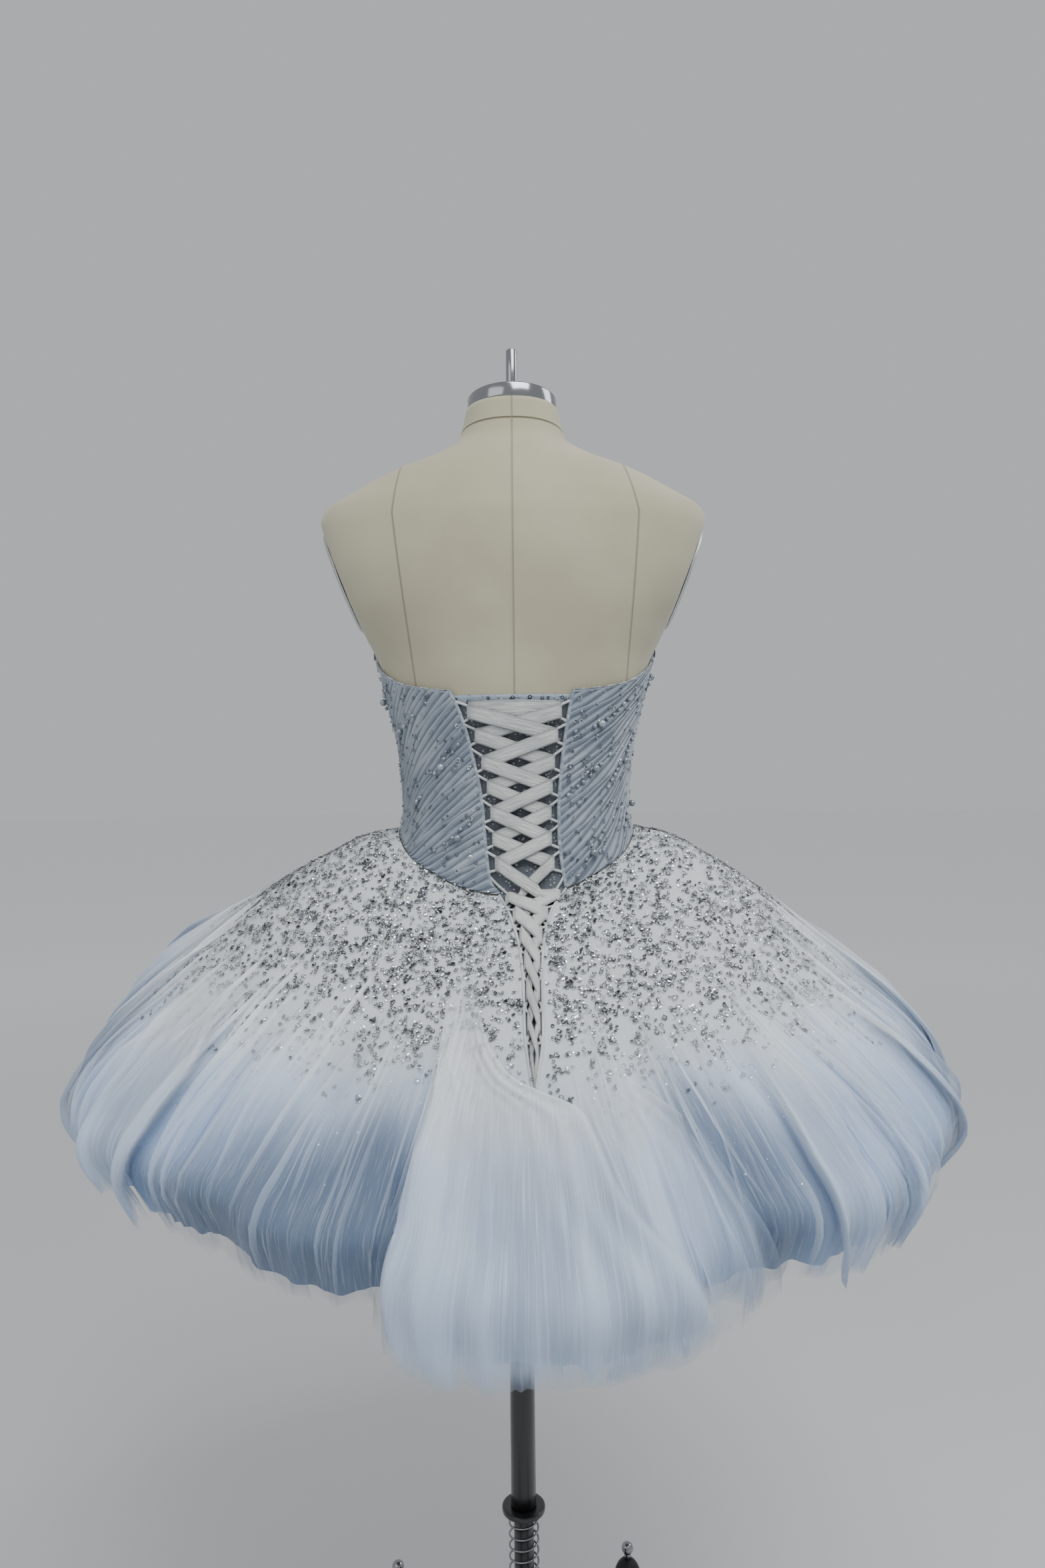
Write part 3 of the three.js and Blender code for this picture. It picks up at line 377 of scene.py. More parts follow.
# many copies of one small shape as one mesh, each turned to its own normal
def scattered(name, shape, points, normals, sizes, rng, tilt):
    points, normals, sizes = np.array(points, float), unit(np.array(normals, float)), np.array(sizes, float)
    bm = bmesh.new()
    shape(bm)
    base = fromBmesh(name + "Shape", bm)
    corners = np.array([v.co for v in base.data.vertices])
    faces = [list(f.vertices) for f in base.data.polygons]
    bpy.data.objects.remove(base)
    lean = unit(normals + rng.normal(0, 1, normals.shape) * tilt)
    side = unit(np.cross(lean, rng.normal(0, 1, lean.shape)))
    other = np.cross(lean, side)
    x, y, z = (corners[None, :, i, None] * sizes[:, None, None] for i in range(3))
    placed = points[:, None] + x * side[:, None] + y * other[:, None] + z * lean[:, None]
    mesh = bpy.data.meshes.new(name)
    shift = np.arange(len(points)) * len(corners)
    mesh.from_pydata((placed * mm).reshape(-1, 3).tolist(), [],
                     [[i + s for i in face] for s in shift.tolist() for face in faces])
    tint = np.repeat(rng.random(len(points)), len(corners))
    mesh.attributes.new("tint", "FLOAT", "POINT").data.foreach_set("value", tint)
    return newObject(name, mesh)


def ringShape(bm):  # flat ring with a slightly dished face
    made = bmesh.ops.create_circle(bm, segments=6, radius=0.5)
    bmesh.ops.contextual_create(bm, geom=made["verts"])
    hole = bmesh.ops.inset_region(bm, faces=bm.faces, use_boundary=True, thickness=0.22, depth=-0.07)
    bmesh.ops.delete(bm, geom=[f for f in bm.faces if f not in hole["faces"]], context="FACES_ONLY")


def cupShape(bm):  # faceted cup
    bmesh.ops.create_cone(bm, segments=6, radius1=0.16, radius2=0.5, depth=0.16, cap_ends=True)
    top = max(bm.faces, key=lambda f: f.calc_center_median().z)
    bmesh.ops.delete(bm, geom=[top], context="FACES_ONLY")


def beadShape(bm):
    bmesh.ops.create_uvsphere(bm, u_segments=12, v_segments=8, radius=0.5)


def flakeShape(bm):
    bmesh.ops.create_circle(bm, cap_ends=True, segments=4, radius=0.5)


# camera at the photograph's place, found from the form's and the stand's known widths
view = dict(side=7.0, back=1129.0, height=1080.0, lens=24.49, roll=0.62)
cameraData = bpy.data.cameras.new("camera")
cameraData.lens, cameraData.sensor_width = view["lens"], 36
camera = bpy.data.objects.new("camera", cameraData)
camera.location = Vector((view["side"], -view["back"], view["height"])) * mm
levelled = Matrix.Rotation(radians(90), 4, "X") @ Matrix.Rotation(radians(-view["roll"]), 4, "Z")
camera.rotation_euler = levelled.to_euler()
bpy.context.scene.collection.objects.link(camera)
bpy.context.scene.camera = camera


photo = dict(width=1568, height=2352)  # pixels


def throughPixel(px, py):  # the ray that a pixel of the photograph looks along
    reach = view["lens"] / cameraData.sensor_width * photo["height"]
    seen = Vector((px - photo["width"] / 2, photo["height"] / 2 - py, -reach))
    return camera.location, (camera.rotation_euler.to_matrix() @ seen).normalized()


print("camera ready")


# dress form
def formLayout(across, down):
    angle = 180 - across * 360  # the joint is at the front
    tilt = np.tan(np.radians(formShape["neckTilt"]))
    reachTop = formShape["width"][-1]
    top = formShape["neckTop"] + reachTop * np.cos(np.radians(angle)) * tilt
    z = 800 + (top - 800) * (1 - down)
    radius = formReach(z, angle)
    # flat where the arms would be
    lean = np.radians(formShape["armTilt"])
    side = np.abs(np.sin(np.radians(angle)))
    reachArm = formShape["armX"] * np.cos(lean) + (z - formShape["armZ"]) * np.sin(lean)
    armBottom, far = 1200, 1000
    limit = np.where(z > armBottom, reachArm / np.maximum(side * np.cos(lean), 1e-6), far)
    soft, base = 1.2, 100  # how rounded the edge of the flat is, and a shift that keeps the powers in range
    near = np.exp(-np.minimum(radius, limit + 40) / soft + base) + np.exp(-limit / soft + base)
    radius = np.where(limit < radius + 30, base * soft - soft * np.log(near), radius)
    points = polar(radius, angle, z)
    seamZ = np.array([1035, 1180, 1346, 1400])
    left = np.interp(z, seamZ, [-81, -98, -118, -112])
    right = np.interp(z, seamZ, [84, 112, 124, 112])
    princess = points[:, 0] - np.where(points[:, 0] < 0, left, right)
    return dict(points=points, u=angle / 360, v=z / 100, princess=princess,
                neckSeam=z - 1444 - 6 * np.cos(np.radians(angle)))


def linenFinish():
    f = Finish("linen", Roughness=0.85, Sheen_Weight=0.25, Sheen_Roughness=0.5)
    at = f.place(1000, 1000, 1000)
    x = f.node("SeparateXYZ", None, at)
    centre = f.node("Math", dict(operation="ABSOLUTE"), x)
    neckSeam = f.node("Math", dict(operation="ABSOLUTE"), f.value("neckSeam"))
    princess = f.node("Math", dict(operation="ABSOLUTE"), f.value("princess"))
    groove = lambda distance, wide: 1 - f.step(distance, 0.2, wide)
    seams = f.node("Math", dict(operation="MAXIMUM"), groove(centre, 1.3) * 0.5, groove(princess, 1.3) * 0.6)
    seams = f.node("Math", dict(operation="MAXIMUM"), seams, groove(neckSeam, 1.8))
    weave = f.noise(f.place(900, 900, 2600), 2) * 0.5 + f.noise(f.place(2600, 2600, 900), 2) * 0.5
    cloud = f.noise(f.place(9, 9, 9), 3)
    colour = f.mix(f.step(cloud, 0.35, 0.7), tone(178, 173, 148), tone(190, 185, 161))
    colour = f.mix(weave * 0.35, colour, tone(154, 149, 124))
    colour = f.mix(seams * 0.85, colour, tone(98, 92, 70))
    return f.paint(Base_Color=colour, Normal=f.bump(weave * 0.12 - seams * 1.0, 0.0012))


formCover = cloth("formCover", 160, 170, formLayout, close=True)
bm = bmesh.new()
bm.from_mesh(formCover.data)
bmesh.ops.holes_fill(bm, edges=[e for e in bm.edges if e.is_boundary], sides=0)
bm.to_mesh(formCover.data)
bm.free()
finishPiece(formCover, linenFinish(), replaces=["form_torso"])
print("form covered")


# turned metal and rubber pieces
def metalFinish(name, colour, rough, brushed=0.0, metallic=1.0, **more):
    f = Finish(name, Metallic=metallic, **more)
    grain = f.noise(f.place(60, 60, 1500 if brushed else 60), 3)
    smudge = f.noise(f.place(14, 14, 14), 3)
    base = f.mix(smudge * 0.5, colour, tuple(c * 0.8 for c in colour[:3]) + (1.0,))
    roughness = f.step(smudge, 0.3, 0.8, rough * 0.8, rough * 1.3) + grain * brushed
    return f.paint(Base_Color=base, Roughness=roughness)


steel = metalFinish("polishedSteel", tone(158, 161, 164), 0.12, 0.03)
plate = metalFinish("plateSteel", tone(205, 208, 210), 0.35, 0.1)
black = metalFinish("blackEnamel", tone(22, 22, 24), 0.28, 0.0, 0.0, Coat_Weight=0.4, Coat_Roughness=0.15)
spring = metalFinish("springWire", tone(150, 152, 155), 0.3, 0.05)


def ironFinish():
    f = Finish("castIron", Metallic=0.3)
    lumps = f.noise(f.place(420, 420, 420), 3)
    return f.paint(Base_Color=f.mix(lumps, tone(20, 20, 22), tone(36, 36, 38)),
                   Roughness=f.step(lumps, 0.3, 0.7, 0.4, 0.6), Normal=f.bump(lumps, 0.0006, 0.6))


def rubberFinish():
    f = Finish("footRubber")
    grain = f.noise(f.place(300, 300, 300), 2)
    return f.paint(Base_Color=f.mix(grain, tone(24, 24, 24), tone(40, 40, 40)),
                   Roughness=f.step(grain, 0.3, 0.7, 0.7, 0.9))


iron, rubber = ironFinish(), rubberFinish()


def turned(name, profile, material, body, replaces, place, bevel):
    # profile: pairs of radius and height, spun round Z
    bm = bmesh.new()
    verts = [bm.verts.new((max(r, 0) * mm, 0, z * mm)) for r, z in profile]
    edges = [bm.edges.new(pair) for pair in zip(verts, verts[1:])]
    bmesh.ops.spin(bm, geom=verts + edges, cent=(0, 0, 0), axis=(0, 0, 1), angle=2 * pi, steps=48,
                   use_merge=True)
    bmesh.ops.remove_doubles(bm, verts=bm.verts, dist=1e-6)
    bmesh.ops.recalc_face_normals(bm, faces=bm.faces)
    if place:
        bmesh.ops.transform(bm, matrix=place, verts=bm.verts)
    item = fromBmesh(name, bm)
    edge = item.modifiers.new("edges", "BEVEL")
    edge.width, edge.segments, edge.limit_method, edge.angle_limit = bevel * mm, 2, "ANGLE", radians(25)
    return finishPiece(item, material, body, replaces)


neckLean = Matrix.Rotation(radians(-formShape["neckTilt"]), 4, "X")
neck = Matrix.Translation((0, 0, formShape["neckTop"] * mm)) @ neckLean
turned("neckCap", [(0, 0.3), (45.5, 0.3), (47, 1.8), (47, 14.8), (45.5, 16.3), (7, 16.3), (0, 16.3)], steel,
       "form", ["neck_cap"], neck, 0.8)
turned("neckPin", [(0, 16.6), (5.9, 16.6), (5.9, 70.6), (4.9, 71.6), (0, 71.6)], steel,
       "form", ["neck_pin"], neck, 0.4)
turned("polePainted", [(0, 42), (10.5, 42), (10.5, 318.3), (13.15, 318.3), (13.15, 799.7), (0, 799.7)], black,
       "form", ["pole"], None, 0.5)
turned("flangePainted", [(10.8, 312), (21.8, 312), (22.8, 313), (22.8, 317), (21.8, 318), (10.8, 318),
                         (10.8, 312)], black, "form", ["flange"], None, 0.4)
turned("hubCast", [(10.8, 40), (30, 40), (32, 52), (32, 186), (24, 198), (10.8, 198), (10.8, 40)], iron,
       "base", ["hub"], None, 1.5)
legs = dict(angles=[39.5, 129.5, 219.5, 309.5], reach=193, voxel=0.0032)
ballNut = dict(radius=7, centre=163.6, stem=[(0, 152.3), (4.2, 152.3), (4.2, 158.3)])
for number, angle in enumerate(legs["angles"], 1):
    toEnd = Vector((sin(radians(angle)), cos(radians(angle)), 0))
    end = Matrix.Translation(toEnd * legs["reach"] * mm)
    turned(f"footRubber{number}", [(0, 0), (22, 0), (24, 2), (24, 14), (9, 18), (9, 104.7), (0, 104.7)], rubber,
           "base", [f"foot_{number}"], end, 1.0)
    ball = [(ballNut["radius"] * cos(radians(up)), ballNut["centre"] + ballNut["radius"] * sin(radians(up)))
            for up in range(-45, 91, 9)]
    turned(f"ballNut{number}", ballNut["stem"] + ball, steel, "base",
           [f"ball_nut_{number}"], end, 0.3)
    casting = bpy.data.objects.new(f"legCast{number}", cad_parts[f"leg_{number}"].data.copy())
    bpy.context.scene.collection.objects.link(casting)
    bm = bmesh.new()
    bm.from_mesh(casting.data)
    bmesh.ops.remove_doubles(bm, verts=bm.verts, dist=1e-5)
    bm.to_mesh(casting.data)
    bm.free()
    soften = casting.modifiers.new("voxels", "REMESH")
    soften.mode, soften.voxel_size = "VOXEL", legs["voxel"]
    rounding = casting.modifiers.new("rounding", "SMOOTH")
    rounding.iterations, rounding.factor = 4, 0.5
    finishPiece(casting, iron, "base", [f"leg_{number}"])


coil = dict(low=199.35, high=310.7, mean=15.2, wire=1.05, turns=9.5)
turn = np.linspace(0, coil["turns"] * 2 * pi, 380)
coilLine = np.stack([coil["mean"] * np.cos(turn), coil["mean"] * np.sin(turn),
                     np.linspace(coil["low"], coil["high"], len(turn))], -1)
finishPiece(tubes("coilSpring", [coilLine], coil["wire"], 2), spring, "base", ["spring"])


armPlate = dict(half=(46, 56), chamfer=2.4, back=0.3, front=3.2, corners=64)


def ovalPlate(name, side, node):
    lean = radians(formShape["armTilt"])
    outward = Vector((side * cos(lean), 0, -sin(lean)))
    up = Vector((side * sin(lean), 0, cos(lean)))
    bm = bmesh.new()
    made = bmesh.ops.create_circle(bm, segments=armPlate["corners"], radius=1)
    face = bmesh.ops.contextual_create(bm, geom=made["verts"])["faces"]
    bmesh.ops.extrude_face_region(bm, geom=face)
    bmesh.ops.recalc_face_normals(bm, faces=bm.faces)
    for number, vert in enumerate(bm.verts):
        outer = number >= armPlate["corners"]
        inset = armPlate["chamfer"] if outer else 0
        spot = Vector((side * formShape["armX"], 0, formShape["armZ"]))
        spot += outward * armPlate["front" if outer else "back"]
        spot += Vector((0, 1, 0)) * vert.co.x * (armPlate["half"][0] - inset)
        spot += up * vert.co.y * (armPlate["half"][1] - inset)
        vert.co = spot * mm
    bmesh.ops.recalc_face_normals(bm, faces=bm.faces)
    item = fromBmesh(name, bm)
    edge = item.modifiers.new("edges", "BEVEL")
    edge.width, edge.segments, edge.limit_method, edge.angle_limit = 0.0008, 3, "ANGLE", radians(25)
    return finishPiece(item, plate, replaces=[node])


ovalPlate("armPlateLeft", -1, "armhole_plate_left")
ovalPlate("armPlateRight", 1, "armhole_plate_right")
print("stand and metal pieces made")


# bodice: pleated tulle, laid along the pleats and clipped to the panel's edges
pleats = {
    "left": dict(edge=-5, first=955, pitch=8.3, count=46, low=17, high=34, steepen=0.0022),
    "right": dict(edge=20, first=850, pitch=8.3, count=44, low=38, high=18, steepen=0.0026),
    "front": dict(edge=90, first=800, pitch=9.5, count=52, low=28, high=28, steepen=0.0),
    "rise": 1.5, "unrolled": 112,
}
sideSeam = 89.92  # just short of a quarter turn, where the panels meet


def bodiceLift(angle):  # the back panels lie on the lacing's bed, and the rest on the form
    near = 1 - smooth(np.abs(wrap(angle)), 52, 66)
    return 2.6 + 2.6 * near


def panelSides(side, z):
    if side == "left":
        return -sideSeam, angleAtX(z, laceEdge["left"](z), bedLift)
    if side == "right":
        return angleAtX(z, laceEdge["right"](z), bedLift), sideSeam
    return 180 - sideSeam, 180 + sideSeam


def bodiceLayout(side):
    spec = pleats[side]
    rng = np.random.default_rng(len(side))
    jitter = rng.normal(0, 0.09, spec["count"] + 2)
    taller = rng.uniform(0.75, 1.25, spec["count"] + 2)

    def place(across, down):
        pleat = (1 - down) * spec["count"]
        number = np.minimum(pleat.astype(int), spec["count"] - 1)
        part = pleat - number
        moved = jitter[number] * (1 - part) + jitter[number + 1] * part
        start = spec["first"] + spec["pitch"] * (pleat + moved)
        steepness = spec["low"] + (spec["high"] - spec["low"]) * np.clip((start - 975) / 200, 0, 1)
        slope = np.tan(np.radians(steepness))
        z = np.full(across.shape, 1090.0)
        for _ in range(14):
            first, last = panelSides(side, np.clip(z, 976, 1172))
            angle = first + (last - first) * across
            run = np.radians(angle - spec["edge"]) * pleats["unrolled"]
            new = start + run * slope + spec["steepen"] * run * np.abs(run)
            new = new + 1.6 * np.sin(run / 17 + number * 1.7) + 0.9 * np.sin(run / 7.5 + number * 2.9)
            z = z * 0.4 + 0.6 * np.clip(new, bodiceWaist(np.abs(wrap(angle))), bodiceTop(np.abs(wrap(angle))))
        # each pleat rises slowly and drops behind its fold
        fold = smooth(part, 0.0, 0.72) * (1 - smooth(part, 0.8, 1.0))
        crest = np.exp(-((part - 0.76) / 0.07) ** 2)
        edgeFade = smooth(across, 0, 0.02) * smooth(1 - across, 0, 0.02)
        high = pleats["rise"] * taller[number] * (fold + 0.25 * crest) * (0.35 + 0.65 * edgeFade)
        lift = bodiceLift(angle) + high - 1.6 * (1 - edgeFade)
        # crest carries a painted highlight along each fold's edge, and shade the painted shade behind the fold
        return dict(points=bodyPoint(z, angle, lift), u=run / 10, v=pleat, crest=crest, shade=1 - fold)
    return place


def tulleFinish(name, light, mid, dark):
    f = Finish(name, Sheen_Weight=0.35, Sheen_Roughness=0.4, Specular_IOR_Level=0.35)
    streak = f.noise(f.place(0.9, 9, 1, uv=True), 4, 0.6)
    fine = f.noise(f.place(2.5, 42, 1, uv=True), 2)
    cloud = f.noise(f.place(15, 15, 15), 3)
    net = f.noise(f.place(1500, 1500, 1500), 1)
    colour = f.mix(f.step(cloud, 0.4, 0.62), mid, tuple((a + b) / 2 for a, b in zip(mid, light)))
    # painted shade behind each pleat's fold, and a painted highlight along its crest
    colour = f.mix(f.step(f.value("shade"), 0.35, 1.0) * 0.7, colour, dark)
    colour = f.mix(f.step(streak, 0.5, 0.78) * 0.6, colour, light)
    colour = f.mix(f.value("crest") * 0.62, colour, light)
    colour = f.mix(f.step(fine, 0.55, 0.8) * 0.28, colour, dark)
    return f.paint(Base_Color=colour, Roughness=f.step(cloud, 0.3, 0.7, 0.5, 0.7),
                   Normal=f.bump(streak * 0.5 + fine * 0.3 + net * 0.2, 0.0011, 0.8))


bodiceTulle = tulleFinish("bodiceTulle", tone(186, 195, 203), tone(134, 146, 160), tone(78, 88, 103))
bodices = {}
for side, columns, rows, cut, node in (("left", 70, 276, (0.225, 0.235), "bodice_back_left"),
                                       ("right", 64, 264, (0.215, 0.235), "bodice_back_right"),
                                       ("front", 150, 260, (0.60, 0.285), "bodice_front")):
    item = cloth("bodicePleats" + side.capitalize(), columns, rows, bodiceLayout(side))
    bodices[side] = finishPiece(item, bodiceTulle, replaces=[node])
print("bodice pleated")


# rolled edge along the top of each panel, and down each lacing edge
def topRoll():
    lines = []
    for first, last in ((-89.5, None), (None, 89.5), (90.4, 269.6)):
        if first is None:
            first = float(angleAtX(1172, laceEdge["right"](1172), bedLift)) + 0.4
        if last is None:
            last = float(angleAtX(1172, laceEdge["left"](1172), bedLift)) - 0.4
        angle = np.linspace(first, last, int(abs(last - first) * 1.2))
        z = bodiceTop(np.abs(wrap(angle)))
        wobble = 0.35 * np.sin(angle * 0.9) + 0.25 * np.sin(angle * 2.3)
        lines.append(bodyPoint(z - 1.2 + wobble, angle, bodiceLift(angle) - 0.4))
    for side, inward in (("left", -1), ("right", 1)):
        z = np.linspace(1170, 981, 80)
        angle = angleAtX(z, laceEdge[side](z) + inward * 1.6, bedLift)
        lines.append(bodyPoint(z, angle, bodiceLift(angle) - 0.3))
    return lines


def bindingFinish():
    f = Finish("bindingTulle", Sheen_Weight=0.4, Roughness=0.6)
    folds = f.noise(f.place(130, 130, 260), 3)
    return f.paint(Base_Color=f.mix(f.step(folds, 0.35, 0.7), tone(124, 136, 151), tone(172, 182, 193)),
                   Normal=f.bump(folds, 0.001))


binding = bindingFinish()
finishPiece(tubes("bodiceBinding", topRoll(), 1.7, 3), binding)


# modesty panel: blue net strip over dark sequinned net
modestyPanel = dict(top=1167, bottom=981, past=11)


def modestyLayout(across, down):
    z = modestyPanel["top"] - down * (modestyPanel["top"] - modestyPanel["bottom"])
    left, right = laceEdge["left"](z) - modestyPanel["past"], laceEdge["right"](z) + modestyPanel["past"]
    angle = angleAtX(z, left + (right - left) * across, 1.9)
    lift = 1.25 + 0.35 * np.sin(across * 14 + down * 5) * np.sin(down * 9)
    return dict(points=bodyPoint(z, angle, lift), u=across * 12, v=down * 20)


def modestyFinish():
    f = Finish("sequinNet", Roughness=0.5)
    row = f.node("SeparateXYZ", None, f.place(1, 1, 1, uv=True), out=1)
    speck = f.node("TexVoronoi", None, Vector=f.place(230, 230, 230), Scale=1.0)
    shine = 1 - f.step(speck, 0.22, 0.42)
    cloud = f.noise(f.place(60, 60, 60), 3)
    dark = f.mix(cloud, tone(62, 68, 76), tone(104, 112, 121))
    dark = f.mix(shine * 0.6, dark, tone(178, 184, 188))
    light = f.mix(cloud, tone(134, 149, 165), tone(160, 173, 187))
    edge = f.step(row, 0.85, 1.0)
    return f.paint(Base_Color=f.mix(edge, light, dark), Roughness=f.step(shine, 0, 1, 0.6, 0.25),
                   Metallic=shine * 0.6 * edge, Normal=f.bump(shine, 0.0006))


modesty = finishPiece(cloth("modestyNet", 40, 60, modestyLayout), modestyFinish(),
                      replaces=["modesty_panel"])
thicken(modesty, 0.5)


# lacing
levels = [("z", z) for z in (1150, 1127, 1101, 1077, 1052, 1027, 1003)]
levels += [("share", s) for s in (0.02, 0.09, 0.165, 0.24, 0.32, 0.4, 0.47, 0.525)]
lacing = dict(half=7.6, ventHalf=0.031, inset=7.0, cordReach=8.5, cordRadius=1.35, cordLift=-1.1)


def bed(kind, at, x, lift):
    if kind == "z":
        angle = angleAtX(at, x, bedLift + lift)
        return bodyPoint(at, angle, bedLift + lift)
    p = skirtPoint(np.full(np.shape(x), seamAngle), at)
    angle = np.degrees(np.arcsin(np.clip(x / np.hypot(p[..., 0], p[..., 1]), -1, 1)))
    return onSkirt(angle, at, lift)


def edgeX(level, side):
    return float((laceEdge if level[0] == "z" else ventEdge)[side](level[1]))


def along(level, halves):  # a level moved up by a number of ribbon halves
    kind, at = level
    if kind == "z":
        return kind, at + halves * lacing["half"]
    return kind, max(0.0, at - halves * lacing["ventHalf"])


def foldX(level, side):
    gap = edgeX(level, "right") - edgeX(level, "left")
    inset = lacing["inset"] if level[0] == "z" else min(lacing["inset"], gap * 0.06 + 0.6)
    return edgeX(level, side) + (inset if side == "left" else -inset)


def cordLine(side):
    inward = 1 if side == "left" else -1
    points = []
    for number, level in enumerate(levels):
        gap = 60 if level[0] == "z" else edgeX(level, "right") - edgeX(level, "left")
        reach = max(2.4, min(lacing["cordReach"], gap * 0.26))
        x = edgeX(level, side) + inward * reach
        if number == 0:
            start = along(level, 1.5)
            points.append(bed(*start, edgeX(start, side) - inward * 2.0, -0.6))
        points.append(bed(*along(level, 0.75), x - inward * 0.6, lacing["cordLift"]))
        points.append(bed(*along(level, 0.35), x + inward * 0.3, lacing["cordLift"]))
        points.append(bed(*along(level, -0.35), x + inward * 0.3, lacing["cordLift"]))
        points.append(bed(*along(level, -0.75), x - inward * 0.6, lacing["cordLift"]))
        end = along(level, -1.42)
        points.append(bed(*end, edgeX(end, side) - inward * (1.6 if level[0] == "z" else 0.2), -0.4))
    return smoothLine(np.array(points), 1.6)


def satinFinish(name, light, dark, edgeShadeAndStitches=False):
    f = Finish(name, Sheen_Weight=0.15, Specular_IOR_Level=0.5)
    cloud = f.noise(f.place(30, 30, 30), 2)
    threads = f.noise(f.place(2400, 2400, 300), 1)
    ripple = f.noise(f.place(0.5, 2.2, 1, uv=True), 3)
    colour = f.mix(f.step(cloud, 0.3, 0.7), dark, light)
    if edgeShadeAndStitches:  # painted shade towards the ribbon's two edges, and a line of stitches by the lower one
        across = f.node("SeparateXYZ", None, f.place(1, 1, 1, uv=True), out=1)
        off = f.node("Math", dict(operation="ABSOLUTE"), across - 1.0)
        stitch = f.node("Math", dict(operation="ABSOLUTE"), across - 1.66)
        colour = f.mix(f.step(off, 0.6, 1.0) * 0.8, colour, tone(112, 116, 118))
        colour = f.mix((1 - f.step(stitch, 0.02, 0.07)) * 0.4, colour, tone(140, 144, 146))
    return f.paint(Base_Color=colour, Roughness=f.step(threads, 0.3, 0.7, 0.32, 0.46),
                   Normal=f.bump(ripple * 0.9 + threads * 0.06, 0.0022, 0.9))


satin = satinFinish("cordSatin", tone(206, 209, 208), tone(186, 190, 190))
ribbonSatin = satinFinish("ribbonSatin", tone(206, 209, 207), tone(184, 188, 187), edgeShadeAndStitches=True)
for side in ("left", "right"):
    item = tubes("rouleau" + side.capitalize(), [cordLine(side)], lacing["cordRadius"], 3)
    finishPiece(item, satin, replaces=["loops_" + side])


def strip(name, rows):
    # rows: for each place along, the level's place above and below, x and lift
    count = len(rows)

    def place(across, down):
        at = np.rint(across * (count - 1)).astype(int)
        points = np.empty((len(across), 3))
        for n, (kind, centre, half, x, lift, curl) in enumerate(rows):
            mine = at == n
            t = 1 - 2 * down[mine]
            spot = centre + t * half if kind == "z" else np.maximum(0.0, centre - t * half)
            points[mine] = bed(kind, spot, np.full(t.shape, x), lift + curl * (1 - t ** 2))
        return dict(points=points, u=across * count * 0.5, v=down * 2)
    return cloth(name, count - 1, 10, place)


def mixLevel(first, last, u):
    if first[0] == last[0]:
        return first[0], first[1] + (last[1] - first[1]) * u
    waist, crossing = 976.0, 0.7  # a run from bodice to vent crosses the waist here
    if u < crossing:
        return "z", first[1] + (waist - first[1]) * u / crossing
    return "share", last[1] * (u - crossing) / (1 - crossing)


def ribbonRuns():
    other = {"left": "right", "right": "left"}
    rng = np.random.default_rng(5)
    pieces = []
    for n in range(len(levels) - 1):
        for half in ("over", "under"):
            first = "left" if n % 2 == 0 or levels[n][0] == "share" else "right"
            start = first if half == "over" else other[first]
            a, b = levels[n], levels[n + 1]
            inA, inB = (1 if start == "left" else -1), (-1 if start == "left" else 1)
            xA, xB = foldX(a, start), foldX(b, other[start])
            high, sink = (3.2, 1.0) if half == "over" else (1.4, 0.6)
            tight = min(1.0, abs(xB - xA) / 30)
            rows = []
            narrow = 1.0 if n < 12 else 0.75
            full = {"z": lacing["half"], "share": lacing["ventHalf"] * narrow}
            size = lambda level: full[level[0]] * rng.uniform(0.96, 1)
            for dx, lift in ((5.5, -3.1), (2.0, -3.2), (-0.4, -2.5), (-1.5, -1.0), (-0.9, 0.6), (0.8, 1.6)):
                rows.append((a[0], a[1], size(a), xA + inA * dx * tight, lift, 0.0))
            steps = 16
            bulge = rng.uniform(0.2, 0.9)
            for k in range(steps + 1):
                u = k / steps
                kind, at = mixLevel(a, b, u)
                x = xA + inA * 2 * tight + (xB + inB * 1.5 * tight - xA - inA * 2 * tight) * u
                lift = high + (1.1 if u < 0.5 else 0.9) * (1 - u) - sink * smooth(u, 0.72, 1.0)
                lift += bulge * sin(pi * u) * 0.6
                curl = (0.5 if kind == "z" else 1.5) * sin(pi * u)
                rows.append((kind, at, size((kind, at)), x, float(lift), curl))
            for dx, lift in ((0.6, 0.2), (-0.8, -0.6)):
                rows.append((b[0], b[1], size(b), xB + inB * dx * tight, lift, 0.0))
            pieces.append(strip(f"ribbon{half}{n}", rows))
    top = levels[0]
    left, right = foldX(top, "left"), foldX(top, "right")
    bar, spans, half = [], 12, 8.4
    for k in range(spans + 1):
        u = k / spans
        bar.append(("z", top[1] + 2.0 + 1.2 * sin(u * pi), half, left + (right - left) * u,
                    0.7 + 0.5 * (2 * u - 1) ** 2, 0.3))
    pieces.append(strip("ribbonBar", bar))
    return pieces


lace = joined("laceRibbon", ribbonRuns())
finishPiece(lace, ribbonSatin, replaces=["lace"])
thicken(lace, 0.45)
print("lacing made")
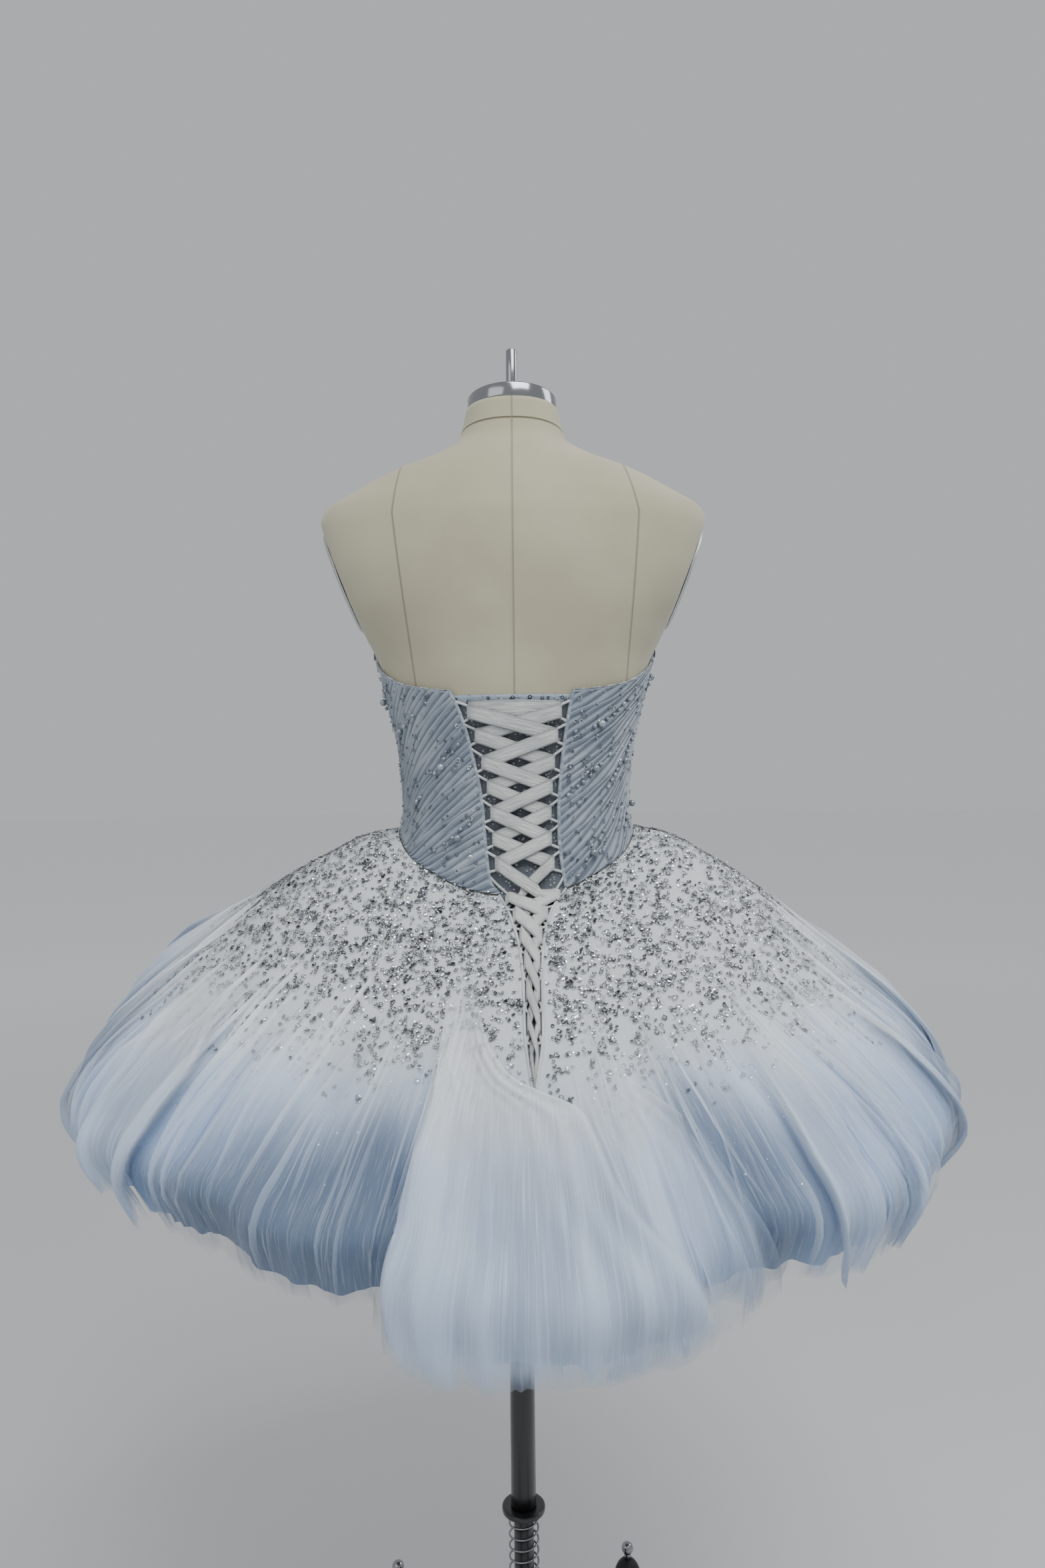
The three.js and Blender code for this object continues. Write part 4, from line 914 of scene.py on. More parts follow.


# skirt: gathered tulle, with its main folds listed
# each fold: angle at the hem, where it starts, height, width, lean
mainFolds = [
    (-86, 0.42, 5, 2.0, 2), (-79, 0.3, 8, 2.6, 3), (-71, 0.46, 6, 1.7, 3), (-64, 0.34, 9, 2.4, 4),
    (-59, 0.55, 6, 1.3, 2), (-49, 0.4, 8, 2.2, 3), (-44, 0.62, 6, 1.2, 1), (-40, 0.35, 7, 1.9, 3),
    (-29, 0.5, 9, 2.0, 2), (-24, 0.66, 5, 1.1, 1),
    (-19, 0.4, 8, 1.8, 2), (-9.2, 0.3, 6, 0.9, -1.5), (-7.2, 0.36, 7, 0.8, -1.2), (-5.4, 0.5, 5, 0.8, -0.6),
    (-2.2, 0.6, 6, 1.4, 0), (1.8, 0.66, 5, 1.1, 0), (6.4, 0.52, 7, 1.7, -1), (10.8, 0.64, 5, 1.2, -1),
    (15.4, 0.45, 8, 1.9, -2), (27, 0.5, 8, 1.6, -2), (32, 0.4, 7, 1.9, -2), (38.5, 0.38, 8, 0.9, -3),
    (41.0, 0.42, 9, 0.8, -3), (43.6, 0.45, 8, 0.9, -3), (56, 0.5, 8, 1.8, -3), (62, 0.36, 9, 2.3, -4),
    (69, 0.55, 6, 1.5, -3), (85, 0.4, 8, 2.2, -3), (93, 0.5, 7, 1.8, -2), (98, 0.62, 5, 1.1, 1),
    (111, 0.36, 9, 2.3, 2), (118, 0.5, 6, 1.4, 1), (123, 0.6, 7, 1.2, 0), (137, 0.34, 9, 2.2, 2),
    (143, 0.52, 6, 1.3, 0), (148, 0.42, 8, 1.6, 1), (161, 0.3, 9, 2.1, 2), (168, 0.56, 6, 1.2, -1),
    (173, 0.4, 8, 1.7, 1), (187, 0.44, 8, 1.9, -1), (193, 0.6, 5, 1.1, 0), (199, 0.34, 9, 2.2, -2),
    (213, 0.5, 7, 1.5, 1), (218, 0.4, 8, 1.8, -1), (225, 0.6, 6, 1.2, 0), (241, 0.34, 9, 2.3, -2),
    (247, 0.52, 7, 1.4, -1), (253, 0.44, 8, 1.8, -2), (263, 0.6, 5, 1.2, 0),
]


foldSink = 4.6  # folds stand half out of the solids' surface and half in it


def rippled(angle, share, count, seed):
    # slow change down the cloth and quick change across it, meeting itself after a full turn
    rows = 5
    field = np.random.default_rng(seed).random((rows + 1, count))
    across, down = (np.asarray(angle) % 360) / 360 * count, np.clip(share, 0, 1) * (rows - 0.001)
    column, row = across.astype(int) % count, down.astype(int)
    s, t = smooth(across - np.floor(across), 0, 1), smooth(down - row, 0, 1)
    nextColumn = (column + 1) % count
    upper = field[row, column] * (1 - s) + field[row, nextColumn] * s
    lower = field[row + 1, column] * (1 - s) + field[row + 1, nextColumn] * s
    return upper * (1 - t) + lower * t


def ridged(angle, share, count, seed):
    return (1 - np.abs(2 * rippled(angle, share, count, seed) - 1)) ** 1.6


def foldHeight(angle, share, seed=1):
    grow = smooth(share, 0.16, 0.85)
    height = (4.6 * ridged(angle, share, 64, seed) + 2.6 * ridged(angle, share, 150, seed + 7)) * grow
    height = height + 0.9 * ridged(angle, share, 330, seed + 13) * smooth(share, 0.3, 0.8)
    for at, start, high, wide, lean in mainFolds:
        line = wrap(angle - at - lean * (1 - share))
        height = height + high * smooth(share, start, start + 0.42) * np.exp(-np.abs(line / wide) ** 1.5)
    return height + 0.5 * ridged(angle, share, 190, seed + 3) * (1 - smooth(share, 0.03, 0.2))


def clothUv(angle, share):
    return np.radians(angle) * 43, np.asarray(share) * 46


def skirtLayout(first, last, start, end, lift=0.0, seed=1, past=0.0, ragged=0.004, top=0.0):
    def place(across, down):
        angle = first + (last - first) * across
        edge = 1 + past + ragged * (ridged(angle, 1.0, 210, seed + 21) * 1.6 - 1)
        share = top + (edge - top) * down
        angle = angle + (start(share) - first) * (1 - across) ** 5 + (end(share) - last) * across ** 5
        fold = foldHeight(angle, share, seed)
        seam = smooth(across, 0, 0.012) * smooth(1 - across, 0, 0.012)
        crest = (fold - 5.2) / 9
        u, v = clothUv(angle, share)
        rise = lift + (fold - foldSink * smooth(share, 0.16, 0.85)) * seam
        return dict(points=onSkirt(angle, share, rise), u=u, v=v, share=share, lobe=lobeLightAndShadeAt(angle, share),
                    fold=np.clip(fold / 14, 0, 1), crest=np.clip(crest, 0, 1), hem=edge - share)
    return place


def fixed(value):
    return lambda share: np.full(np.shape(share), float(value))


skirtSide = 89.93
skirtSpans = {
    "BackLeft": (-skirtSide, seamAngle - 0.1, fixed(-skirtSide), lambda share: ventAngle(share, "left") - 0.1),
    "BackRight": (seamAngle + 0.1, skirtSide, lambda share: ventAngle(share, "right") + 0.1, fixed(skirtSide)),
    "Front": (180 - skirtSide, 180 + skirtSide, fixed(180 - skirtSide), fixed(180 + skirtSide)),
}

# deep is the painted shade colour for the shaded lobes and the valleys between folds; bright is near-white tulle,
# and also the painted highlight on fine folds
tulleTone = dict(white=tone(214, 220, 223), pale=tone(196, 211, 231), blue=tone(162, 187, 222),
                 deep=tone(98, 116, 142), bright=tone(240, 245, 249))
# painted light and painted shade on the lobes (light above 0, shade below): angle, share, how wide, how tall,
# amount
paintedLobeLightAndShade = [
    (-28, 0.94, 13, 0.24, -1.0), (-17, 0.92, 6, 0.3, -1.0), (-42, 1.0, 10, 0.14, -0.6), (-56, 0.78, 9, 0.3, 0.7),
    (4, 0.9, 12, 0.4, 0.75), (-10, 0.6, 3, 0.3, 0.7), (16, 0.95, 5, 0.25, 0.35), (27, 0.88, 5, 0.24, -1.0),
    (21, 0.66, 4, 0.12, -0.6), (36, 0.9, 3.5, 0.3, 0.8), (43, 1.0, 5, 0.12, -0.5), (52, 0.8, 9, 0.3, 0.4),
    (66, 0.9, 8, 0.25, -0.6),
    (-76, 0.8, 9, 0.3, -0.6), (-90, 0.85, 7, 0.3, 0.5), (82, 0.85, 8, 0.3, 0.5), (98, 0.9, 8, 0.25, -0.6),
    (114, 0.85, 9, 0.3, 0.6), (130, 0.92, 8, 0.25, -0.6), (146, 0.85, 9, 0.3, 0.6), (160, 0.92, 7, 0.25, -0.55),
    (176, 0.85, 10, 0.35, 0.7), (193, 0.92, 7, 0.25, -0.55), (209, 0.85, 9, 0.3, 0.5), (226, 0.92, 8, 0.25, -0.6),
    (242, 0.85, 9, 0.3, 0.6), (257, 0.92, 7, 0.25, -0.55),
]


# the painted light and shade of the lobes at a point, from -1 (full painted shade) to 1 (full painted light)
def lobeLightAndShadeAt(angle, share):
    total = np.zeros(np.shape(angle))
    for at, level, wide, tall, amount in paintedLobeLightAndShade:
        total = total + amount * np.exp(-(wrap(angle - at) / wide) ** 2 - ((share - level) / tall) ** 2)
    return np.clip(total, -1, 1)


def skirtFinish():
    f = Finish("skirtTulle", Sheen_Weight=0.3, Sheen_Roughness=0.5, Specular_IOR_Level=0.3)
    share, fold = f.value("share"), f.value("fold")
    cloud = f.noise(f.place(5, 5, 5), 3)
    streak = f.noise(f.place(1.6, 0.10, 1, uv=True), 4, 0.6)
    fine = f.noise(f.place(7, 0.22, 1, uv=True), 3, 0.6)
    net = f.noise(f.place(1400, 1400, 1400), 1)
    at = share + (cloud - 0.5) * 0.16 + (streak - 0.5) * 0.2 - fold * 0.06
    colour = f.mix(f.step(at, 0.4, 0.68), tulleTone["white"], tulleTone["pale"])
    colour = f.mix(f.step(at, 0.54, 0.84), colour, tulleTone["blue"])
    # painted shade in the valleys between the folds, down the lower skirt
    paintedValleyShade = f.step(fold, 0.0, 0.42, 1.0, 0.0) * f.step(share, 0.4, 0.8)
    # painted light and painted shade on the lobes, read from the lobe attribute
    lobe = f.value("lobe")
    colour = f.mix(f.step(lobe, 0.0, 1.0) * 0.55, colour, tulleTone["pale"])
    colour = f.mix(f.step(lobe, -1.0, 0.0, 1.0, 0.0) * 0.95, colour, tulleTone["deep"])
    colour = f.mix(paintedValleyShade * 0.7, colour, tulleTone["deep"])
    # painted highlights on fine raised folds, down the lower skirt
    colour = f.mix(f.step(fine, 0.5, 0.75) * f.step(share, 0.3, 0.6) * 0.4, colour, tulleTone["bright"])
    height = fine * 0.5 + streak * 0.3 + net * 0.15
    return f.paint(Base_Color=colour, Roughness=f.step(cloud, 0.3, 0.7, 0.6, 0.8),
                   Normal=f.bump(height, 0.002, 0.7))


def veilFinish(name, low, high, warm):
    # one layer of tulle: clear between its folds, milky where they stand
    f = Finish(name, Sheen_Weight=0.3, Sheen_Roughness=0.5, Roughness=0.7, Specular_IOR_Level=0.3)
    share, crest = f.value("share"), f.value("crest")
    streak = f.noise(f.place(2.4, 0.09, 1, uv=True), 2, 0.65)
    fine = f.noise(f.place(9, 0.16, 1, uv=True), 1, 0.6)
    at = share + (streak - 0.5) * 0.24
    colour = f.mix(f.step(at, 0.5, 0.8), tulleTone["bright"], tulleTone["pale"])
    colour = f.mix(f.step(at, 0.66, 1.0) * warm, colour, tulleTone["blue"])
    # painted shade from the lobes' light and shade, which also thins the tulle there
    shaded = f.step(f.value("lobe"), -1.0, 0.0, 1.0, 0.0)
    colour = f.mix(shaded * 0.85, colour, tulleTone["deep"])
    lines = f.step(fine, 0.52, 0.8) * 0.5 + f.step(streak, 0.5, 0.8) * 0.6
    milky = (low + crest * high + lines * (low + 0.12)) * (1 - shaded * 0.45)
    alpha = milky * f.step(f.value("hem"), 0.0, 0.03, 0.35, 1.0) * f.value("veil")
    return f.paint(Base_Color=colour, Alpha=alpha, Normal=f.bump(fine, 0.0015, 0.5))


skirtTulle = skirtFinish()
skirtColumns = {"BackLeft": 250, "BackRight": 240, "Front": 430}
skirtNodes = {"BackLeft": "skirt_back_left", "BackRight": "skirt_back_right", "Front": "skirt_front"}
for name, span in skirtSpans.items():
    item = cloth("skirt" + name, skirtColumns[name], 76, skirtLayout(*span, lift=-1.2))
    finishPiece(item, skirtTulle, replaces=[skirtNodes[name]])
print("skirt gathered")


def veilLayout(seed, lift, past, top):
    plain = skirtLayout(0.0, 360.0, fixed(0), fixed(360), lift, seed, past, 0.02, top)

    def place(across, down):
        placed = plain(across, down)
        placed["veil"] = smooth(placed["share"], top, top + 0.22)
        return placed
    return place


veil = veilFinish("tulleVeil", 0.1, 0.5, 0.55)
tulleVeil = cloth("tulleVeil", 800, 42, veilLayout(31, 3.2, 0.02, 0.4), close=True)
finishPiece(tulleVeil, veil)
tulleVeil.visible_shadow = False


# overlapping gores: angle, half width, top share, lift, sway, extra length, how much they fill the valleys
def goreTable():
    rng = np.random.default_rng(77)
    table, angle = [], 0.0
    while angle < 360:
        half = rng.uniform(2.4, 5.4)
        table.append((angle, half, rng.uniform(0.34, 0.62), rng.uniform(1.5, 8), rng.uniform(-2.5, 2.5),
                      rng.uniform(0.0, 0.045), rng.uniform(0.0, 0.5)))
        angle += half * rng.uniform(1.2, 2.3)
    # folds at the edges of the middle lobe and of the lobe on its right, which stand over the valleys
    return np.array(table + [
        (-11.0, 2.2, 0.30, 12, -1.8, 0.02, 1.0), (-9.2, 1.6, 0.26, 15, -2.2, 0.03, 1.0),
        (-7.0, 1.8, 0.34, 12, -1.5, 0.02, 0.9), (-4.6, 2.0, 0.42, 9, -1.0, 0.02, 0.5),
        (17.5, 3.0, 0.42, 10, 2.6, 0.01, 0.9), (20.5, 2.4, 0.46, 12, 3.0, 0.0, 1.0),
        (39.0, 1.6, 0.34, 10, 1.5, 0.01, 0.4), (41.2, 1.3, 0.36, 13, 2.5, 0.03, 0.6),
        (43.6, 1.5, 0.38, 12, 3.0, 0.05, 0.8), (46.5, 1.5, 0.40, 11, 2.0, 0.03, 1.0),
    ])


goreRows = goreTable()
goreWave = np.random.default_rng(8).uniform((0, 5), (6, 9), (len(goreRows), 2))


def goreLayout(across, down, strip):
    centre, half, top, lift, sway, extra, fill = goreRows[strip].T
    phase, waves = goreWave[strip].T
    a = across * 2 - 1
    share = top + (1 + extra * (1 - 0.5 * a * a) - top) * down
    angle = centre + sway * down ** 2 + half * a * (0.3 + 0.7 * down ** 0.8)
    sunk = valleyDepth(angle) * smooth(share, 0.18, 1) * fill
    rise = lift * down ** 0.6 * (1 - 0.3 * a * a) + 1.6 * np.sin(a * waves + phase + down * 1.3) * down
    rise = rise + 2.4 * np.abs(a) ** 8 * smooth(down, 0.1, 0.5) + 3.4 * smooth(share, 0.3, 0.8)
    u, v = clothUv(angle + strip * 3.7, share)
    return dict(points=onSkirt(angle, share, rise) + polar(sunk, angle, 0.0), u=u, v=v, share=share,
                crest=0.15 + 0.85 * np.abs(a) ** 5, lobe=lobeLightAndShadeAt(angle, share), hem=(1 - down) * 0.6,
                veil=smooth(down, 0.0, 0.35))


goreVeil = veilFinish("tulleGore", 0.12, 0.6, 0.45)
tulleGores = finishPiece(cloth("tulleGores", 12, 26, goreLayout, strips=len(goreRows)), goreVeil)
tulleGores.visible_shadow = False


# lobes of tulle that stand over the valleys: where each starts, its two edges as pairs of share and angle,
# how far it stands out at its left and right edge, and how far it hangs past the hem
lobes = [
    dict(top=0.26, left=[(0.26, -14.6), (0.4, -14.2), (0.55, -12.6), (0.83, -11.8), (1.03, -9.4)],
         right=[(0.26, -10), (0.45, -5), (0.54, -0.5), (0.62, 9), (0.77, 11.4), (0.89, 15.2), (1.03, 19)],
         out=(17, 9), past=0.025),
    dict(top=0.48, left=[(0.48, 8), (0.8, 10), (1.03, 14)],
         right=[(0.48, 13), (0.62, 18.8), (0.74, 22.4), (0.84, 23.6), (1.03, 24.4)], out=(2, 15), past=0.0),
    dict(top=0.42, left=[(0.42, -64), (0.54, -65), (0.73, -62), (1.03, -60)],
         right=[(0.42, -54), (0.54, -51.5), (0.72, -45.5), (1.03, -46)], out=(6, 15), past=0.0),
    dict(top=0.5, left=[(0.5, 36), (0.76, 31.5), (0.9, 31), (1.06, 34.2)],
         right=[(0.5, 39), (0.77, 37.6), (1.06, 36.4)], out=(14, 9), past=0.05),
    dict(top=0.55, left=[(0.55, 45), (0.84, 43.4), (1.04, 42)],
         right=[(0.55, 52), (0.84, 48), (1.04, 45)], out=(9, 7), past=0.03),
    dict(top=0.45, left=[(0.45, -88), (0.7, -84), (1.03, -81)],
         right=[(0.45, -77), (0.7, -72), (1.03, -70)], out=(3, 8), past=0.0),
    dict(top=0.5, left=[(0.5, 58), (0.8, 60), (1.03, 63)],
         right=[(0.5, 64), (0.8, 68), (1.03, 72)], out=(6, 6), past=0.02),
]
# lobes round the rest of the skirt, which the photograph doesn't show: angle and width
otherLobes = [(78, 17), (105, 18), (134, 15), (156, 13), (166, 20), (197, 16), (222, 14), (234, 17), (260, 14)]
for n, (at, wide) in enumerate(otherLobes):
    lobes.append(dict(top=0.4 + 0.02 * (n % 4), left=[(0.4, at + 1.5), (0.7, at), (1.03, at + 0.5)],
                      right=[(0.4, at + wide - 4), (0.7, at + wide - 1), (1.03, at + wide)],
                      out=(11 - n % 3 * 3, 6 + n % 2 * 4), past=0.01 * (n % 3)))


def lobeLayout(lobe, seed):
    left, right = curve(*zip(*lobe["left"])), curve(*zip(*lobe["right"]))

    def place(across, down):
        share = lobe["top"] + (1 + lobe["past"] - lobe["top"]) * down
        low, high = left(share), right(share)
        ragged = 0.022 * (ridged(low + (high - low) * across, 1.0, 260, seed) - 0.5) * smooth(down, 0.8, 1)
        share = share + ragged - 0.02 * (2 * across - 1) ** 6 * down
        angle = low + (high - low) * across
        nearLeft, nearRight = np.exp(-(across / 0.3) ** 1.5), np.exp(-((1 - across) / 0.3) ** 1.5)
        stand = lobe["out"][0] * nearLeft + lobe["out"][1] * nearRight
        sunk = valleyDepth(angle) * smooth(share, 0.18, 1) * np.maximum(nearLeft, nearRight) * 0.8
        rolled = 5 * (np.exp(-(across / 0.035) ** 2) + np.exp(-((1 - across) / 0.035) ** 2))
        grow = smooth(down, 0.0, 0.45)
        bundle = 2.6 * np.sin(across * 46 + seed) * nearLeft + 1.8 * np.sin((1 - across) * 40) * nearRight
        fold = foldHeight(angle, share, 31 + seed)
        rise = 5.0 + (stand - rolled + bundle) * grow + (fold - foldSink * smooth(share, 0.16, 0.85)) * 0.8
        u, v = clothUv(angle, share)
        gathered = np.maximum(nearLeft, nearRight) * (0.6 + 0.4 * np.sin(across * 46 + seed))
        crest = np.clip((fold - 5) / 8, 0, 1) + 0.55 * gathered
        fade = smooth(down, 0.0, 0.4) * smooth(across, 0, 0.05) * smooth(1 - across, 0, 0.05)
        return dict(points=onSkirt(angle, share, rise) + polar(sunk, angle, 0.0), u=u, v=v, share=share,
                    lobe=lobeLightAndShadeAt(angle, share), crest=np.clip(crest, 0, 1), hem=(1 - down) * 0.5, veil=fade)
    return place


def lobeCut(lobe):
    # a lobe's flat width, length and area, from its edges, with a fifth more for its gathers
    share, lift = np.linspace(lobe["top"], 1 + lobe["past"], 30), np.full(30, 6.0)
    left = onSkirt(curve(*zip(*lobe["left"]))(share), share, lift) * mm
    right = onSkirt(curve(*zip(*lobe["right"]))(share), share, lift) * mm
    wide = np.linalg.norm(right - left, axis=-1)
    steps = np.linalg.norm(np.diff((left + right) / 2, axis=0), axis=-1)
    gather = 1.2
    flatArea = (steps * (wide[1:] + wide[:-1]) / 2).sum() * gather
    return float(wide.max() * gather), float(steps.sum()), float(flatArea)


lobeVeil = veilFinish("tulleLobe", 0.5, 0.5, 0.35)
for number, lobe in enumerate(lobes, 1):
    item = finishPiece(cloth(f"tulleLobe{number}", 60, 50, lobeLayout(lobe, number)), lobeVeil)
    width, length, cutArea = lobeCut(lobe)
print("tulle layered")


# narrow folds that catch the light as thin lines: angle, top share, length, lean, width
lineRows = np.random.default_rng(9).uniform((0, 0.3, 0.2, -2.4, 0.3), (360, 0.74, 0.62, 2.4, 0.8), (420, 5))


def foldLineLayout(across, down, strip):
    angle, top, length, lean, wide = lineRows[strip].T
    share = top + (np.minimum(1.01, top + length) - top) * down
    spread = np.sin(pi * np.clip(down, 0.02, 0.98)) ** 0.5
    at = angle + lean * down ** 2 + np.where(strip % 2, wide, -wide) * across * spread * 0.8
    base = foldHeight(at, share, 31) - foldSink * smooth(share, 0.16, 0.85) + 3.4
    u, v = clothUv(at, share)
    return dict(points=onSkirt(at, share, base + 3.2 * across * spread), u=u, v=v, share=share,
                crest=0.4 + 0.6 * across, lobe=lobeLightAndShadeAt(at, share) * 0.5, hem=0.5 + 0 * across, veil=spread)


lineVeil = veilFinish("tulleLine", 0.3, 0.6, 0.1)
foldLines = cloth("foldLines", 1, 14, foldLineLayout, strips=len(lineRows))
finishPiece(foldLines, lineVeil)
foldLines.visible_shadow = False


# petticoat of stiff net inside the skirt
petticoat = dict(top=0.05, clear=12.5, gap=4.2, hemUp=6, cornerAngle=27, cornerDown=17, cornerWidth=6)


def petticoatLayout(across, down):
    angle = across * 360
    at = petticoat["top"] + down * (1 - petticoat["top"])
    waves = 0.7 * np.sin(np.radians(angle) * 72) * down
    lift = -petticoat["gap"] - petticoat["clear"] * smooth(down, 0, 0.2) + waves
    skirtReach = [np.linalg.norm(skirtPoint(angle + turn, at)[..., :2], axis=-1) for turn in (-9, -5, 0, 5, 9)]
    own, nearby = skirtReach[2], np.min(skirtReach, 0)
    fromCorner = wrap(angle - petticoat["cornerAngle"]) / petticoat["cornerWidth"]
    drop = (petticoat["cornerDown"] * np.exp(-fromCorner ** 2) - petticoat["hemUp"]) * down ** 3
    points = onSkirt(angle, at, lift) - polar((own - nearby) * smooth(down, 0.1, 0.4), angle, 0.0)
    points[:, 2] -= drop
    u, v = clothUv(angle, at)
    return dict(points=points, u=u, v=v, share=at)


def netFinish():
    f = Finish("petticoatNet", Roughness=0.75, Sheen_Weight=0.2)
    cell = f.node("TexVoronoi", dict(feature="DISTANCE_TO_EDGE"), Vector=f.place(4.2, 4.2, 1, uv=True),
                  Scale=1.0)
    threads = 1 - f.step(cell, 0.03, 0.12)
    cloud = f.noise(f.place(14, 14, 14), 3)
    colour = f.mix(f.step(cloud, 0.3, 0.7), tone(168, 166, 158), tone(198, 197, 190))
    return f.paint(Base_Color=f.mix(threads * 0.5, colour, tone(226, 226, 222)), Alpha=0.62 + threads * 0.38,
                   Normal=f.bump(threads, 0.0006))


net = netFinish()
petticoatNet = finishPiece(cloth("petticoatNet", 432, 28, petticoatLayout, close=True), net,
                           replaces=["petticoat"])


# lining behind the open vent, and piping down the vent's two edges
def ventLayout(across, down):
    waistDown = 0.0833  # the part of the lining above the waist lies on the form
    share = np.maximum(down * 0.6 - 0.05, 0)
    left, right = ventAngle(share, "left") - 1.6 + 3 * share, ventAngle(share, "right") + 1.6 - 3 * share
    angle = left + (right - left) * across
    upper = bodyPoint(975 + 25 * (1 - down / waistDown), angle, 2.3)
    lower = onSkirt(angle, share, np.full(np.shape(share), -2.6))
    points = np.where((down < waistDown)[:, None], upper, lower)
    return dict(points=points, u=across * 6, v=3 + down * 20)


ventLining = finishPiece(cloth("ventLining", 12, 60, ventLayout), modesty.data.materials[0])
ventLine = np.linspace(0.0, 0.545, 70)
piping = [onSkirt(ventAngle(ventLine, side) + inward * 0.25, ventLine, np.full(ventLine.shape, -0.4))
          for side, inward in (("left", -1), ("right", 1))]
pipingSatin = satinFinish("pipingSatin", tone(214, 219, 221), tone(186, 193, 199))
finishPiece(tubes("ventPiping", piping, 1.3, 3), pipingSatin)
print("petticoat and vent made")


# sequins, thick at the waist and thinning downwards
def sequinPlaces(count, seed, last, cluster):
    rng = np.random.default_rng(seed)
    tries = count * 6
    angle, share = rng.uniform(0, 360, tries), rng.uniform(0.004, last, tries)
    thick = (0.4 + 0.6 * share / last) * (1 - smooth(share, 0.5 * last, last)) + 0.012
    left, right = ventAngle(share, "left"), ventAngle(share, "right")
    clearOf = np.where(share < ventTip, (right - left) / 2 + 1.3, 0)
    kept = (rng.random(tries) < thick) & (np.abs(wrap(angle - (left + right) / 2)) > clearOf)
    copies = rng.integers(1, cluster + 1, kept.sum())
    angle, share = np.repeat(angle[kept], copies)[:count], np.repeat(share[kept], copies)[:count]
    reach = np.linalg.norm(skirtPoint(angle, share)[:, :2], axis=-1)
    angle = angle + np.degrees(rng.normal(0, 2.8, len(angle)) / reach)
    return angle, np.abs(share + rng.normal(0, 0.0075, len(share))), rng


def silverFinish(name, light, dark, rough):
    f = Finish(name, Metallic=1.0)
    tint = f.value("tint")
    return f.paint(Base_Color=f.mix(f.step(tint, 0.45, 1.0), dark, light),
                   Roughness=f.step(tint, 0, 1, rough * 2.2, rough))


silver = silverFinish("silverSequin", tone(206, 208, 210), tone(108, 111, 115), 0.16)
bright = silverFinish("brightGlint", tone(250, 252, 255), tone(214, 226, 244), 0.1)


def skirtSequins(name, shape, count, seed, last, cluster, sizes, material, above):
    angles, shares, rng = sequinPlaces(count, seed, last, cluster)
    over = np.maximum(foldHeight(angles, shares), 0) - foldSink * smooth(shares, 0.16, 0.85)
    points = onSkirt(angles, shares, over - 1.2 + above)
    item = scattered(name, shape, points, skirtNormal(angles, shares), rng.uniform(*sizes, len(points)), rng,
                     0.28)
    return finishPiece(item, material)


skirtSequins("sequinRings", ringShape, 8500, 21, 0.69, 2, (3.2, 5.0), silver, 1.8)
skirtSequins("sequinCups", cupShape, 5000, 22, 0.7, 2, (2.6, 4.2), silver, 1.5)
skirtSequins("brightRings", ringShape, 900, 24, 0.78, 1, (3.4, 4.8), bright, 2.6)
skirtSequins("glints", flakeShape, 3200, 23, 1.0, 1, (0.7, 1.6), bright, 6.0)


# beads on the bodice: strings seen in the photograph, by its pixels, and like ones in front
pearlStrings = {
    "left": [[(580, 1027), (580, 1035), (579, 1043), (579, 1052), (583, 1058), (582, 1062)],
             [(620, 1073), (613, 1082), (608, 1089), (602, 1096), (600, 1107)],
             [(687, 1116), (679, 1128), (667, 1138), (662, 1149), (653, 1159), (648, 1159)],
             [(632, 1195), (627, 1201), (624, 1210), (615, 1221), (606, 1233)],
             [(705, 1237), (691, 1243), (687, 1256), (679, 1256), (667, 1265), (653, 1276)]],
    "right": [[(982, 996), (979, 1018), (974, 1028), (969, 1044), (963, 1049), (957, 1059), (954, 1068)],
              [(953, 1042), (942, 1051), (935, 1057), (927, 1064), (920, 1071), (910, 1077), (900, 1083),
               (891, 1088), (872, 1100), (862, 1096)],
              [(905, 1127), (915, 1133), (902, 1148), (895, 1155), (885, 1163), (874, 1173), (866, 1179),
               (852, 1192)],
              [(950, 1100), (947, 1110), (943, 1119), (939, 1127), (936, 1142), (930, 1148), (925, 1156),
               (922, 1163), (917, 1171), (912, 1181)],
              [(947, 1176), (946, 1185), (944, 1205), (940, 1220), (938, 1228), (936, 1240)],
              [(904, 1246), (899, 1259), (889, 1269), (888, 1278), (879, 1289), (866, 1314)]],
}
bigPearls = {(579, 1052), (602, 1096), (662, 1149), (687, 1256), (969, 1044), (900, 1083), (895, 1155),
             (936, 1142), (944, 1205), (888, 1278)}
# strings in front: angle, height, length
frontStrings = [(98, 1196, 30), (112, 1150, 42), (118, 1216, 36), (131, 1102, 40), (138, 1180, 46),
                (150, 1060, 34), (158, 1222, 30), (164, 1132, 44), (178, 1080, 40), (190, 1180, 38),
                (203, 1110, 44), (214, 1210, 34), (226, 1150, 40), (240, 1090, 36), (248, 1190, 32),
                (260, 1140, 34)]


